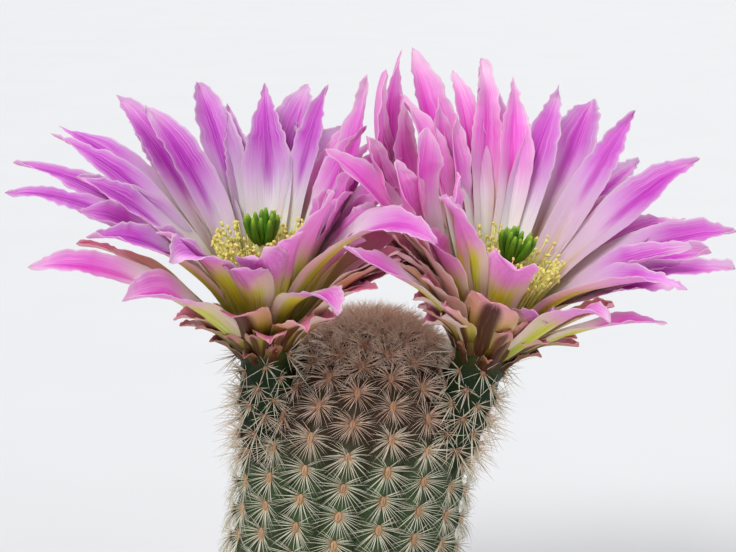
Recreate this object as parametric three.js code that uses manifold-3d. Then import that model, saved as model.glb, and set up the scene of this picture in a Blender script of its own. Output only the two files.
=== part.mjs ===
// Hedgehog cactus (Echinocereus) in flower: a leaning ribbed stem with spines on its tubercles, cut flat at
// the foot, and two open flowers that break out of its shoulders. Each flower is a tube with scales, spines
// and sepals, a cup of petals, a ring of stamens, and a style with a star of stigma lobes.
// Millimetres, +Z up. The origin is the centre of the flat cut foot; +X is to the right, -Y is the front.
import * as THREE from "three";
import { mergeVertices } from "three/addons/utils/BufferGeometryUtils.js";
import Module from "manifold-3d";

const wasm = await Module();
wasm.setup();

// ---- driving dimensions ----------------------------------------------------------------------------
const CLEARANCE = 0.35; // between pieces that touch
const GOLDEN = 0.381966; // share of a turn between one leaf and the next

const STEM = {
  height: 92, // foot to crown
  shoulder: 64, // where the column turns into its dome
  radius: 26.2, // over the furrows' middle, on the column
  footRadius: 21.5,
  footFlare: 7, // height over which the foot widens
  domeArc: 42.6, // length of the meridian from shoulder to crown
  ribs: 18,
  furrow: 1.9, // depth between two ribs
  tubercle: 0.9, // height of the bump under an areole
  lean: 0.16, // the axis' slope at the foot
  straighten: 0.00035, // how fast that slope fades with height
  spiral: 0.0013, // turn of the ribs, radians for each millimetre of height
};
const AREOLE_SPACING = 7; // along a rib
const CROWN_CROWDING = 0.25; // the share by which that spacing shrinks at the crown
const TUBE_AREOLES = 14; // on each flower's tube, from TUBE_BARE of its bent foot to the base of the petals
const TUBE_BARE = 0.3;
// A spine: its foot lies off the areole's centre, and its lift is its angle over the skin, in degrees.
const SPINE = { radius: 0.36, length: 6, root: 1.7, offset: 1.5, lift: 24, crownLift: 58 };
const SPINE_TURNS = [18, 66, 137]; // degrees about an areole, each in the middle of a facet of the skin
const TUBE_SPINE = { length: 6.5, offset: 0.9, sunk: 6.1, splay: 0.8 };

// Tube of a flower, along its own axis: height above the base of the petals, and radius there.
const TUBE_PROFILE = [
  [-9, 6.5],
  [-5, 6.2],
  [0, 6.0],
  [4, 6.9],
  [8, 8.3],
];
// The tube's bent foot, from under the stem's skin to the straight part: share of its length, and radius.
const TUBE_FOOT = [
  [0, 4.6],
  [0.2, 5.5],
  [0.45, 6.1],
  [0.75, 6.4],
  [1, 6.5],
];
const CUP = { floor: -1, floorRadius: 4.6, rim: 8, rimRadius: 7.4, wall: 1.5, lip: 1.2 };
const STAMEN = {
  count: 14,
  filament: 0.38,
  anther: 0.95,
  ringBottom: 3.6,
  ringTop: 6.6,
  spread: [4.6, 10], // distance of the anthers from the flower's axis
  below: [6, -2], // and how far they stay under the top of the style, from the nearest to the farthest
};
const STYLE = { foot: 1.2, radius: 0.95, head: 1.9 };
const STIGMA = { lobes: 11, length: 7.5, radius: 0.7, ring: 1.25 };

// Foot of each kind of petal on the flower: radius, height, angle from the flower's axis, the claw's share of
// the blade's width, and the blade's thickness at its midrib.
const WHORLS = {
  inner: { radius: 5.5, height: 7.5, angle: 21, claw: 0.22, thick: 1.1 },
  middle: { radius: 5.65, height: 7.3, angle: 24, claw: 0.22, thick: 1.1 },
  outer: { radius: 5.7, height: 7.1, angle: 28, claw: 0.22, thick: 1.1 },
  sepal: { radius: 7.1, height: 4.6, angle: 40, claw: 0.6, thick: 1.2 },
  scale: { radius: 6, height: 1, angle: 36, claw: 0.8, thick: 1.3 },
};

// Each petal: azimuth about the flower's axis (0 right, 90 back), reach of its tip from that axis, height of
// its tip, width, twist of its blade towards the tip, and how far its end bends outwards. Degrees and mm.
// Some go on with how blunt the tip is (1 is drawn out, 4 is broad) and with a foot's angle of their own.
const LEFT_PETALS = {
  inner: [
    [88, 36, 56, 12, 0, 6, 1.1],
    [62, 35, 57, 7.5, 0, 6],
    [136, 37, 55, 9.5, -12, 8],
    [163, 50, 52, 8, -32, 10],
    [200, 40, 51.5, 8.5, -45, 4],
    [342, 17, 43, 6.5, 30, 10],
    [243, 37.5, 37.5, 13.5, -26, 34, 1.9],
    [306, 18.5, 37, 11, 14, 6, 2.4],
    [274, 20, 33, 12, 0, 16, 4],
    [18, 26, 54, 8, 20, 8],
  ],
  middle: [
    [111, 43, 55.5, 9.5, 0, 10, 3],
    [76, 46, 53.5, 10.5, 0, 10, 2.4],
    [30, 30.5, 63.5, 8, 20, -10, 1.7, 30],
    [139, 45, 56, 10, -15, 8],
    [152, 54, 51, 9, -30, 8],
    [180, 57, 43.5, 8, -30, 12],
    [213, 42, 41, 9.5, -35, 14],
    [258, 24, 31.5, 11, -6, 16, 3],
    [304, 33.5, 22, 11, -14, 44, 2.4],
    [325, 23, 45, 10, 22, 8],
    [0, 24, 47, 8, 20, 10],
  ],
  outer: [
    [130, 51, 48, 11, -12, 12],
    [100, 48.7, 43.5, 9.5, 0, 12],
    [66, 48, 43, 9.5, 0, 12],
    [166, 59, 45.5, 7.5, -30, 12],
    [30, 36, 46, 8.5, 15, 12],
    [338, 27, 32, 8, 15, 20],
    [326, 49, 38, 12, 30, 46, 1.5, 20],
  ],
  sepal: [
    [192, 52.5, 29.5, 10, -28, 12],
    [230, 43, 29, 12.5, -36, 24, 2],
    [254, 20, 18, 12.5, 6, 52, 4],
    [300, 22, 15, 10, 0, 30],
    [278, 19, 12, 8, 0, 26],
    [338, 35, 29, 8.5, 0, 12],
    [178, 42, 30, 5, -20, 10],
    [217, 24, 17, 8, 0, 16],
    [121, 36, 26, 7, 0, 14],
    [84, 36, 26, 7, 0, 14],
    [356, 34, 26, 8.5, 0, 12],
    [16, 31, 25, 8, 0, 14],
  ],
  scale: [
    [285, 11, 7, 4, 0, 4],
    [200, 13, 7, 5, 0, 4],
  ],
};
const RIGHT_PETALS = {
  inner: [
    [159, 40, 63, 13, -20, -34, 1.6, 50],
    [130, 37, 58.5, 10.5, -8, 6],
    [118, 37, 62.5, 9, 0, 4],
    [106, 33, 60.5, 8.5, 0, 6],
    [86, 35, 61, 9.5, 0, 6],
    [54, 35.5, 61, 8.5, 8, 6],
    [30, 43.5, 57, 9.5, 24, 6],
    [190, 29, 53, 13, -52, -28, 3, 42],
    [222, 32.5, 44, 9, -26, 12],
    [262, 21, 33.5, 11.5, 8, 18, 5],
    [322, 42, 40.5, 10, 24, 16],
  ],
  middle: [
    [134, 49, 59, 13, -8, -6, 1.7, 34],
    [112, 44, 58, 12.5, 0, 8],
    [73, 42.5, 58.5, 11.5, 0, 8, 2.6],
    [6, 48, 47, 10, 34, 8],
    [-12, 47.5, 42, 8, 30, 10],
    [-18, 37, 45, 9.5, 30, 12],
    [192, 51, 44, 11.5, -38, 2, 1.5, 42],
    [208, 24.5, 47, 11, -45, -8, 2.6],
    [172, 41, 60, 11, -24, -36, 1.6, 50],
    [158, 38, 54, 10, -10, 8],
  ],
  outer: [
    [89, 47.5, 45, 7.5, 0, 10],
    [54, 48.5, 46.5, 8.5, 0, 10],
    [12, 46, 45, 9, 26, 12],
    [295, 19, 21.5, 9, 0, 24, 3],
    [165, 38, 40, 9, 0, 12],
  ],
  sepal: [
    [302, 35.5, 30, 9.5, 12, 40],
    [-29, 38.5, 29, 9, 4, 8],
    [216, 52, 30, 9, -16, -8],
    [256, 18.5, 23, 13, 0, 4, 3],
    [312, 17, 14, 7, 0, 14],
    [230, 24, 18, 7.5, 0, 0],
    [196, 33, 23, 8, 0, 8],
    [174, 32, 22, 8, 0, 8],
    [128, 36, 28, 7, 0, 14],
    [68, 36, 30, 7, 0, 14],
    [34, 36, 28, 7, 0, 14],
    [2, 26, 22, 7, 0, 14],
  ],
  scale: [
    [277, 13.5, 15.5, 6.5, 0, 4],
    [350, 13, 7, 5, 0, 4],
  ],
};
const PETAL_ROWS = 5; // segments along a blade
const POINT = 1.7; // how blunt a tip is where its row does not say
const TROUGH = 0.28; // rise of a blade's edges over its midrib, as a share of its half width
const WAVE = { rise: 0.8, turns: 2.2, lag: 1.9 }; // of a blade's edges

// Each flower: the base of its petals, how its axis leans to the right and nods to the front, in degrees,
// and where its tube roots in the stem, as an azimuth about the stem, a height and a depth under the skin.
const FLOWERS = {
  left: {
    base: [-12.8, -14, 87.2],
    lean: -2,
    nod: 10,
    root: { azimuth: 207, height: 60, depth: 5 },
    petals: LEFT_PETALS,
    style: 28.4, // height of its top over the base of the petals
    stigma: 17, // how far the lobes of its star spread
  },
  right: {
    base: [37.5, -14, 86],
    lean: 17,
    nod: 10,
    root: { azimuth: 333, height: 59, depth: 5 },
    petals: RIGHT_PETALS,
    style: 26.2,
    stigma: 17,
  },
};

const COLOURS = {
  stem: { color: 0x4d6b4a, roughness: 0.6, metalness: 0 },
  tube: { color: 0x7d5a3c, roughness: 0.6, metalness: 0 },
  petals: { color: 0xd773cf, roughness: 0.55, metalness: 0 },
  stamens: { color: 0xe6d873, roughness: 0.7, metalness: 0 },
  pistil: { color: 0x3f8f24, roughness: 0.5, metalness: 0 },
};

// ---- small helpers ------------------------------------------------------------------------------
const rad = THREE.MathUtils.degToRad;
const vec = (x, y, z) => new THREE.Vector3(x, y, z);
const lerp = THREE.MathUtils.lerp;
const UP = vec(0, 0, 1);

// A repeatable draw between 0 and 1 for the k-th item of a series.
function draw(k, series = 0) {
  const s = Math.sin(k * 12.9898 + series * 78.233) * 437.5453;
  return s - Math.floor(s);
}

function toSolid(geometry) {
  const bare = geometry.index ? geometry.toNonIndexed() : geometry.clone();
  bare.deleteAttribute("normal");
  bare.deleteAttribute("uv");
  const merged = mergeVertices(bare, 1e-4);
  return new wasm.Manifold(
    new wasm.Mesh({
      numProp: 3,
      vertProperties: new Float32Array(merged.attributes.position.array),
      triVerts: new Uint32Array(merged.index.array),
    }),
  );
}

// One solid from many; scraps that the join leaves loose are dropped.
function join(solids) {
  const pieces = wasm.Manifold.union(solids).decompose();
  return pieces.reduce((most, piece) => (piece.volume() > most.volume() ? piece : most));
}

function toMesh(name, solid, look) {
  const made = solid.getMesh();
  const geometry = new THREE.BufferGeometry()
    .setAttribute("position", new THREE.BufferAttribute(made.vertProperties, 3))
    .setIndex(new THREE.BufferAttribute(made.triVerts, 1));
  geometry.computeVertexNormals();
  const mesh = new THREE.Mesh(geometry, new THREE.MeshStandardMaterial(look));
  mesh.name = name;
  return mesh;
}

// A closed skin over rings of points, each ring given anticlockwise seen from the end it leads to. The first
// and the last ring may be a single point. In a mirrored skin the ring's second half is split like its first.
function skin(rings, mirrored = false) {
  const sides = Math.max(...rings.map((ring) => ring.length));
  const points = rings.flat();
  const start = rings.map((_, i) => rings.slice(0, i).flat().length);
  const corner = (i, j) => start[i] + (rings[i].length > 1 ? j % sides : 0);
  const faces = [];
  for (let i = 0; i + 1 < rings.length; i++)
    for (let j = 0; j < sides; j++) {
      const [a, b, c, d] = [corner(i, j), corner(i, j + 1), corner(i + 1, j + 1), corner(i + 1, j)];
      if (mirrored && j >= sides / 2) faces.push([a, b, d], [b, c, d]);
      else faces.push([a, b, c], [a, c, d]);
    }
  const last = rings.length - 1;
  for (let j = 1; j + 1 < sides; j++) {
    faces.push([corner(0, 0), corner(0, j + 1), corner(0, j)]);
    faces.push([corner(last, 0), corner(last, j), corner(last, j + 1)]);
  }
  const real = faces.filter(([a, b, c]) => a !== b && b !== c && c !== a);
  return new THREE.BufferGeometry()
    .setAttribute("position", new THREE.Float32BufferAttribute(points.flatMap((p) => p.toArray()), 3))
    .setIndex(real.flat());
}

// A rod along a curve, whose radius is given at a list of places from 0 to 1 along it.
function rod(curve, stations, sides) {
  const normal = vec(0, 0, 0).crossVectors(curve.getTangent(0), vec(0.3, 1, 0.2)).normalize();
  return skin(
    stations.map(([t, radius]) => {
      const along = curve.getTangentAt(t);
      normal.addScaledVector(along, -normal.dot(along)).normalize();
      const across = along.clone().cross(normal);
      return Array.from({ length: sides }, (_, j) => {
        const a = (2 * Math.PI * j) / sides;
        const at = curve.getPointAt(t).addScaledVector(normal, radius * Math.cos(a));
        return at.addScaledVector(across, radius * Math.sin(a));
      });
    }),
  );
}

// A needle: a three-sided cone that rises from a root under the skin, through its foot, to its point.
// A margin makes it the room that the needle needs.
function needle({ foot, direction, length }, margin = 0) {
  const height = length + SPINE.root + 2 * margin;
  const cone = new THREE.ConeGeometry(SPINE.radius + margin, height, 3, 1);
  cone.translate(0, height / 2 - SPINE.root, 0);
  cone.applyQuaternion(new THREE.Quaternion().setFromUnitVectors(vec(0, 1, 0), direction));
  return toSolid(cone.translate(...foot.toArray()));
}

// The needles that keep clear of some solids and off the ground.
function freeNeedles(needles, solids) {
  const room = (one) => needle(one, 2 * CLEARANCE);
  const clear = (one) => solids.every((solid) => solid.intersect(room(one)).isEmpty());
  const standing = ({ foot, direction, length }) => foot.z + length * direction.z > 0.5;
  return needles.filter((one) => standing(one) && clear(one)).map((one) => needle(one));
}

// ---- stem ---------------------------------------------------------------------------------------
// The stem's meridian: radius and height at a distance along it from the foot.
function meridian(s) {
  if (s <= STEM.shoulder) {
    const flare = (STEM.radius - STEM.footRadius) * Math.exp(-s / STEM.footFlare);
    return { r: STEM.radius - flare, z: s, tilt: 0 };
  }
  const turn = (Math.PI / 2) * ((s - STEM.shoulder) / STEM.domeArc);
  return {
    r: STEM.radius * Math.cos(turn),
    z: STEM.shoulder + (STEM.height - STEM.shoulder) * Math.sin(turn),
    tilt: turn,
  };
}

const axisX = (z) => STEM.lean * z - STEM.straighten * z * z;

// A point over the meridian at an angle; ribs and tubercles fade out towards the crown.
function stemPoint(s, angle, relief) {
  const { r, z, tilt } = meridian(s);
  const rise = relief * Math.sqrt(r / STEM.radius);
  const a = angle + STEM.spiral * z;
  const out = r + rise * Math.cos(tilt);
  return vec(axisX(z) + out * Math.cos(a), out * Math.sin(a), z + rise * Math.sin(tilt));
}

// Distances along the meridian of the rows of vertices: two to an areole, closer together near the crown.
function stemRows() {
  const length = STEM.shoulder + STEM.domeArc;
  const rows = [0];
  while (rows.at(-1) < length - 3) {
    const s = rows.at(-1);
    const near = THREE.MathUtils.smoothstep(s, length - 40, length);
    rows.push(s + (AREOLE_SPACING / 2) * (1 - CROWN_CROWDING * near));
  }
  return rows;
}

// Height of the skin over the meridian at a column of vertices: ribs and furrows alternate round the stem,
// and the tubercles of one rib stand between those of the next.
function stemRelief(row, column) {
  if (column % 2) return -STEM.furrow / 2;
  return STEM.furrow / 2 + ((row + column / 2) % 2 ? 0 : STEM.tubercle);
}

function stemBody() {
  const columns = 2 * STEM.ribs;
  const rings = stemRows().map((s, row) =>
    Array.from({ length: columns }, (_, column) =>
      stemPoint(s, (2 * Math.PI * column) / columns, stemRelief(row, column)),
    ),
  );
  rings[0].forEach((p) => p.setZ(0));
  rings.push([stemPoint(STEM.shoulder + STEM.domeArc, 0, 0)]);
  return toSolid(skin(rings));
}

// The stem's areoles: place, outward normal, the direction along the rib, and how far they lean to the crown.
function areoles() {
  const found = [];
  stemRows().forEach((s, row) => {
    for (let rib = 0; rib < STEM.ribs; rib++) {
      if (row === 0 || (row + rib) % 2) continue;
      const angle = (2 * Math.PI * rib) / STEM.ribs;
      const at = stemPoint(s, angle, stemRelief(row, 2 * rib));
      const along = stemPoint(s + 0.5, angle, 0).sub(stemPoint(s - 0.5, angle, 0)).normalize();
      const { tilt } = meridian(s);
      const turn = angle + STEM.spiral * at.z;
      const out = vec(Math.cos(turn), Math.sin(turn), 0);
      const normal = out.multiplyScalar(Math.cos(tilt)).addScaledVector(UP, Math.sin(tilt));
      found.push({ at, along, normal, crown: tilt / (Math.PI / 2), key: row * STEM.ribs + rib });
    }
  });
  return found;
}

// Needles of an areole: they fan out from round it, close over the skin, and stand up towards the crown.
function areoleNeedles({ at, along, normal, crown, key }) {
  const side = along.clone().cross(normal).normalize();
  const lift = rad(lerp(SPINE.lift, SPINE.crownLift, crown ** 2));
  const fallAcross = (STEM.furrow + STEM.tubercle) / ((Math.PI * STEM.radius) / STEM.ribs);
  const fallAlong = STEM.tubercle / (AREOLE_SPACING / 2);
  const turns = crown > 0.5 ? [0, 180] : [180 * (key % 2)];
  return turns.map((opposite, j) => {
    const jitter = lerp(-8, 8, draw(key + j, 8));
    const turn = rad(SPINE_TURNS[key % SPINE_TURNS.length] + opposite + jitter);
    const over = side.clone().multiplyScalar(Math.cos(turn)).addScaledVector(along, Math.sin(turn));
    const slope = fallAcross * Math.abs(Math.cos(turn)) + fallAlong * Math.abs(Math.sin(turn));
    const drop = slope * (1 - crown) * SPINE.offset;
    const foot = at.clone().addScaledVector(over, SPINE.offset).addScaledVector(normal, -drop);
    const direction = over.multiplyScalar(Math.cos(lift)).addScaledVector(normal, Math.sin(lift));
    return { foot, direction, length: SPINE.length * (0.85 + 0.3 * draw(key + j, 2)) };
  });
}

// ---- flowers ------------------------------------------------------------------------------------
// The frame of a flower: its base, its axis, and the two directions across it.
function flowerFrame({ base, lean, nod }) {
  const axis = vec(Math.tan(rad(lean)), -Math.tan(rad(nod)), 1).normalize();
  const right = vec(1, 0, 0).addScaledVector(axis, -axis.x).normalize();
  const back = axis.clone().cross(right);
  const origin = vec(...base);
  const at = (radius, azimuth, height) =>
    origin
      .clone()
      .addScaledVector(right, radius * Math.cos(azimuth))
      .addScaledVector(back, radius * Math.sin(azimuth))
      .addScaledVector(axis, height);
  const round = (azimuth) =>
    right.clone().multiplyScalar(-Math.sin(azimuth)).addScaledVector(back, Math.cos(azimuth));
  return { origin, axis, right, front: back.clone().negate(), at, round };
}

// The midrib of a petal, from its foot in the cup up the throat and out to its tip.
function midrib(frame, whorl, [azimuth, reach, rise, , , bend, , open]) {
  const { radius, height, angle: usual } = WHORLS[whorl];
  const angle = open ?? usual;
  const length = Math.hypot(reach - radius, rise - height);
  const up = 0.4 * length;
  const throat = [radius + up * Math.sin(rad(angle)), height + up * Math.cos(rad(angle))];
  const out = Math.atan2(reach - throat[0], rise - throat[1]) + rad(bend);
  const end = 0.3 * length;
  const a = rad(azimuth);
  return new THREE.CubicBezierCurve3(
    frame.at(radius, a, height),
    frame.at(throat[0], a, throat[1]),
    frame.at(reach - end * Math.sin(out), a, rise - end * Math.cos(out)),
    frame.at(reach, a, rise),
  );
}

// Half the width of a blade at t along it: a narrow claw, widest past the middle, drawn out to its tip.
function halfWidth(width, claw, point, t) {
  const widest = 0.6;
  if (t < widest) return (width / 2) * lerp(claw, 1, THREE.MathUtils.smoothstep(t, 0, widest));
  const s = (t - widest) / (1 - widest);
  return (width / 2) * (1 - s ** point);
}

// A blade: a thin arched leaf with a lens-shaped section, trough-like across, twisted, with a waved margin.
function blade(frame, whorl, row) {
  const [azimuth, , , width, twist, , point = POINT] = row;
  const { claw, thick } = WHORLS[whorl];
  const curve = midrib(frame, whorl, row);
  const rings = [];
  for (let i = 0; i <= PETAL_ROWS; i++) {
    const t = i / PETAL_ROWS;
    const at = curve.getPoint(t);
    const along = curve.getTangent(t);
    const side = frame.round(rad(azimuth));
    side.addScaledVector(along, -side.dot(along)).normalize();
    const face = along.clone().cross(side);
    const turn = rad(twist) * t ** 1.3;
    const across = side.clone().multiplyScalar(Math.cos(turn)).addScaledVector(face, Math.sin(turn));
    const inner = face.clone().multiplyScalar(Math.cos(turn)).addScaledVector(side, -Math.sin(turn));
    const half = halfWidth(width, claw, point, t);
    const fromAxis = at.clone().sub(frame.origin).cross(frame.axis).length();
    const edge = (sign) => {
      const trough = (half * half * (1 - 0.6 * t)) / (2 * fromAxis) + TROUGH * half;
      const phase = 2 * Math.PI * (WAVE.turns * t + azimuth / 57) + (sign > 0 ? WAVE.lag : 0);
      const wave = WAVE.rise * t * Math.sin(phase);
      return at
        .clone()
        .addScaledVector(across, sign * half)
        .addScaledVector(inner, trough + wave);
    };
    const depth = (thick / 2) * Math.min(1, 0.35 + 2.2 * (1 - t));
    const back = at.clone().addScaledVector(inner, -depth);
    const front = at.clone().addScaledVector(inner, depth);
    rings.push(i < PETAL_ROWS ? [edge(-1), back, edge(1), front] : [at]);
  }
  return toSolid(skin(rings, true));
}

// The tube's centre line: out of the stem under the skin, up over the shoulder, and into the flower's axis.
function tubeCurve({ root }, frame) {
  const { r } = meridian(root.height);
  const a = rad(root.azimuth);
  const out = vec(Math.cos(a), Math.sin(a), 0);
  const start = vec(axisX(root.height), 0, root.height).addScaledVector(out, r - root.depth);
  const first = TUBE_PROFILE[0][0];
  return new THREE.CubicBezierCurve3(
    start,
    start.clone().addScaledVector(out, 4).addScaledVector(UP, 4),
    frame.at(0, 0, first - 5),
    frame.at(0, 0, first),
  );
}

// The lower, swelling part of the tube, up to where its straight upper part begins. Grown by a margin it is
// the shape of the socket, and the tube itself ends just short of the socket's floor.
function tubeFoot(curve, margin = 0) {
  const end = margin ? 0 : CLEARANCE / curve.getLength();
  const stations = TUBE_FOOT.map(([t, radius]) => [Math.max(t, end), radius + margin]);
  return toSolid(rod(curve, stations, 12));
}

// A solid of revolution about a flower's axis, from its profile of radius and height.
function turned(frame, profile, sides) {
  const points = profile.map(([radius, height]) => new THREE.Vector2(radius, height));
  const geometry = new THREE.LatheGeometry(points, sides);
  geometry.applyMatrix4(new THREE.Matrix4().makeBasis(frame.right, frame.axis, frame.front));
  return toSolid(geometry.translate(...frame.origin.toArray()));
}

// Radius of the hollow in the tube's mouth at a height.
function hollow(height) {
  return CUP.floorRadius + ((CUP.rimRadius - CUP.floorRadius) * (height - CUP.floor)) / (CUP.rim - CUP.floor);
}

// The tube's straight upper part, hollowed for the cup of petals, or grown by a margin and left whole.
function tubeTop(frame, margin = 0) {
  const [low, radius] = TUBE_PROFILE[0];
  const outside = TUBE_PROFILE.map(([height, r]) => [r + margin, height]);
  const mouth = [
    [hollow(CUP.rim), CUP.rim],
    [hollow(CUP.floor), CUP.floor],
    [0, CUP.floor],
  ];
  const lid = [[0, CUP.rim]];
  const bottom = low - 0.5 - margin;
  const start = [
    [0, bottom],
    [radius + margin, bottom],
  ];
  return turned(frame, [...start, ...outside, ...(margin ? lid : mouth)], 14);
}

// The cup that the petals share: it sits in the tube, with room for the stamens and the style.
function petalCup(frame) {
  const floor = CUP.floor + CLEARANCE;
  const top = CUP.rim + CUP.lip;
  const outer = (height) => hollow(height) - CLEARANCE;
  const profile = [
    [0, floor],
    [outer(floor), floor],
    [outer(top), top],
    [outer(top) - CUP.wall, top],
    [outer(floor + CUP.wall) - CUP.wall, floor + CUP.wall],
    [0, floor + CUP.wall],
  ];
  return turned(frame, profile, 14);
}

// Stamens: filaments that rise from a ring in the throat and lean out to the petals, each with an anther.
function stamens(frame, style) {
  const { count, filament, anther, ringTop, ringBottom, spread, below } = STAMEN;
  const inside = STYLE.radius + CLEARANCE + 0.5;
  const outside = (at) => hollow(at) - CUP.wall - 2 * CLEARANCE;
  const middle = (inside + outside(ringTop)) / 2;
  const ring = [
    [inside, ringBottom],
    [outside(ringBottom), ringBottom],
    [outside(ringTop), ringTop],
    [inside, ringTop],
    [inside, ringBottom],
  ];
  const parts = [turned(frame, ring, 12)];
  for (let k = 0; k < count; k++) {
    const azimuth = 2 * Math.PI * ((k * GOLDEN) % 1);
    const away = draw(k, 3);
    const reach = lerp(...spread, away);
    const top = style - lerp(...below, away) - 2 * draw(k, 4);
    const curve = new THREE.QuadraticBezierCurve3(
      frame.at(middle, azimuth, ringTop - 1),
      frame.at(lerp(middle, reach, 0.3), azimuth, lerp(ringTop, top, 0.6)),
      frame.at(reach, azimuth, top),
    );
    const stations = [
      [0, filament],
      [0.9, filament],
      [0.95, anther],
      [1, filament],
    ];
    parts.push(toSolid(rod(curve, stations, 3)));
  }
  return join(parts);
}

// The style, and the star of finger-like stigma lobes at its top.
function pistil(frame, top, spread) {
  const { foot, radius, head } = STYLE;
  const profile = [
    [0, foot],
    [radius, foot],
    [radius, top - 2.5],
    [head, top],
    [head, top + 0.8],
    [0, top + 0.8],
  ];
  const parts = [turned(frame, profile, 8)];
  for (let k = 0; k < STIGMA.lobes; k++) {
    const azimuth = (2 * Math.PI * (k + 0.3 * draw(k, 5))) / STIGMA.lobes;
    const out = Math.sin(rad(spread)) * STIGMA.length;
    const high = Math.cos(rad(spread)) * STIGMA.length * lerp(0.92, 1.08, draw(k, 6));
    const curve = new THREE.QuadraticBezierCurve3(
      frame.at(STIGMA.ring, azimuth, top),
      frame.at(STIGMA.ring + 0.75 * out, azimuth, top + 0.45 * high),
      frame.at(STIGMA.ring + out, azimuth, top + high),
    );
    const stations = [
      [0, 0.5 * STIGMA.radius],
      [0.55, STIGMA.radius],
      [1, 0.6 * STIGMA.radius],
    ];
    parts.push(toSolid(rod(curve, stations, 4)));
  }
  return join(parts);
}

// Needles of the tube: areoles in a few turns round it, with two needles each.
function tubeNeedles(frame, curve) {
  const found = [];
  const { length, offset, sunk, splay } = TUBE_SPINE;
  const straight = (share) => frame.at(0, 0, lerp(TUBE_PROFILE[0][0], 0, share));
  const bent = (share) => curve.getPointAt(lerp(TUBE_BARE, 1, share));
  for (let k = 0; k < TUBE_AREOLES; k++) {
    const along = (2 * (k + 0.5)) / TUBE_AREOLES;
    const azimuth = 2 * Math.PI * ((k * GOLDEN + 0.1) % 1);
    const turn = Math.PI * draw(k, 7);
    const out = frame.at(1, azimuth, 0).sub(frame.origin);
    for (const sign of [-1, 1]) {
      const over = frame.round(azimuth).multiplyScalar(sign * Math.cos(turn));
      over.addScaledVector(frame.axis, sign * Math.sin(turn));
      const foot = along < 1 ? bent(along) : straight(along - 1);
      foot.addScaledVector(out, sunk).addScaledVector(over, offset);
      const direction = out.clone().addScaledVector(over, splay).normalize();
      found.push({ foot, direction, length });
    }
  }
  return found;
}

// ---- assembly -----------------------------------------------------------------------------------
const group = new THREE.Group();
const flowers = Object.entries(FLOWERS).map(([side, flower]) => {
  const frame = flowerFrame(flower);
  const curve = tubeCurve(flower, frame);
  const blades = (...whorls) =>
    whorls.flatMap((whorl) => flower.petals[whorl].map((row) => blade(frame, whorl, row)));
  return {
    side,
    flower,
    frame,
    curve,
    socket: join([tubeFoot(curve, CLEARANCE), tubeTop(frame, CLEARANCE)]),
    tube: join([tubeFoot(curve), tubeTop(frame), ...blades("sepal", "scale")]),
    petals: join([petalCup(frame), ...blades("inner", "middle", "outer")]),
  };
});

// The stem has a socket for each tube, and needles where the flowers leave room.
const skinned = flowers.reduce((solid, { socket }) => solid.subtract(socket), stemBody());
const stemNeedles = freeNeedles(
  areoles().flatMap(areoleNeedles),
  flowers.flatMap(({ tube, petals }) => [tube, petals]),
);
const stem = join([skinned, ...stemNeedles]);
group.add(toMesh("stem", stem, COLOURS.stem));

for (const { side, flower, frame, curve, tube, petals } of flowers) {
  const spiny = join([tube, ...freeNeedles(tubeNeedles(frame, curve), [stem])]);
  group.add(toMesh(`${side}_flower_tube`, spiny, COLOURS.tube));
  group.add(toMesh(`${side}_flower_petals`, petals, COLOURS.petals));
  group.add(toMesh(`${side}_flower_stamens`, stamens(frame, flower.style), COLOURS.stamens));
  group.add(toMesh(`${side}_flower_pistil`, pistil(frame, flower.style, flower.stigma), COLOURS.pistil));
}

export default group;
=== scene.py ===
"""Looks of the hedgehog cactus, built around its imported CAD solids.

Sizes are in millimetres up to the moment a mesh is made; the scene itself is in metres. The origin is the
centre of the stem's flat foot, +Z is up, +X is to the right and -Y is the front.
"""

import math

import bpy
import numpy as np
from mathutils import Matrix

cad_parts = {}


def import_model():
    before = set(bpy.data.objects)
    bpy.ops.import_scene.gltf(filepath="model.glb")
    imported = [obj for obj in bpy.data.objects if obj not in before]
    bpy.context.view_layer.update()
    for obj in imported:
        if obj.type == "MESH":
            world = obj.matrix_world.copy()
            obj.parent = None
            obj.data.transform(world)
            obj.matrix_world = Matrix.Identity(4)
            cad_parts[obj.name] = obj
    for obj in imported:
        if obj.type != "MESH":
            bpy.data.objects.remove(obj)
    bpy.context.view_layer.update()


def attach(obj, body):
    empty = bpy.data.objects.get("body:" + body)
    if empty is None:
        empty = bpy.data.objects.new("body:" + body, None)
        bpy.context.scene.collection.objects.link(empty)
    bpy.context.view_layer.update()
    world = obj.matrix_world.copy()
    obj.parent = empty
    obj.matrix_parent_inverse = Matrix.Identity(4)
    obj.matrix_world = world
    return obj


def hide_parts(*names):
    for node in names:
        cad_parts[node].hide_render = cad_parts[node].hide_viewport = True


MM = 0.001
GOLDEN = 0.381966  # share of a turn between one leaf and the next

# ---- stem ----
HEIGHT = 92  # foot to crown
SHOULDER = 64  # where the column turns into its dome
STEM_RADIUS = 26.2
FOOT_RADIUS = 21.5
FOOT_FLARE = 7
DOME_ARC = 42.6  # length of the meridian from shoulder to crown
MERIDIAN = SHOULDER + DOME_ARC
RIBS = 18
FURROW = 1.9
TUBERCLE = 0.9
LEAN = 0.16
STRAIGHTEN = 0.00035
SPIRAL = 0.0013
AREOLE_SPACING = 7
CROWN_ZONE = 40  # length of the meridian along which the areoles draw together
CROWN_CROWDING = 0.25
STEM_STEP = 0.55  # between rows of the skin's vertices
RIB_COLUMNS = 12

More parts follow.
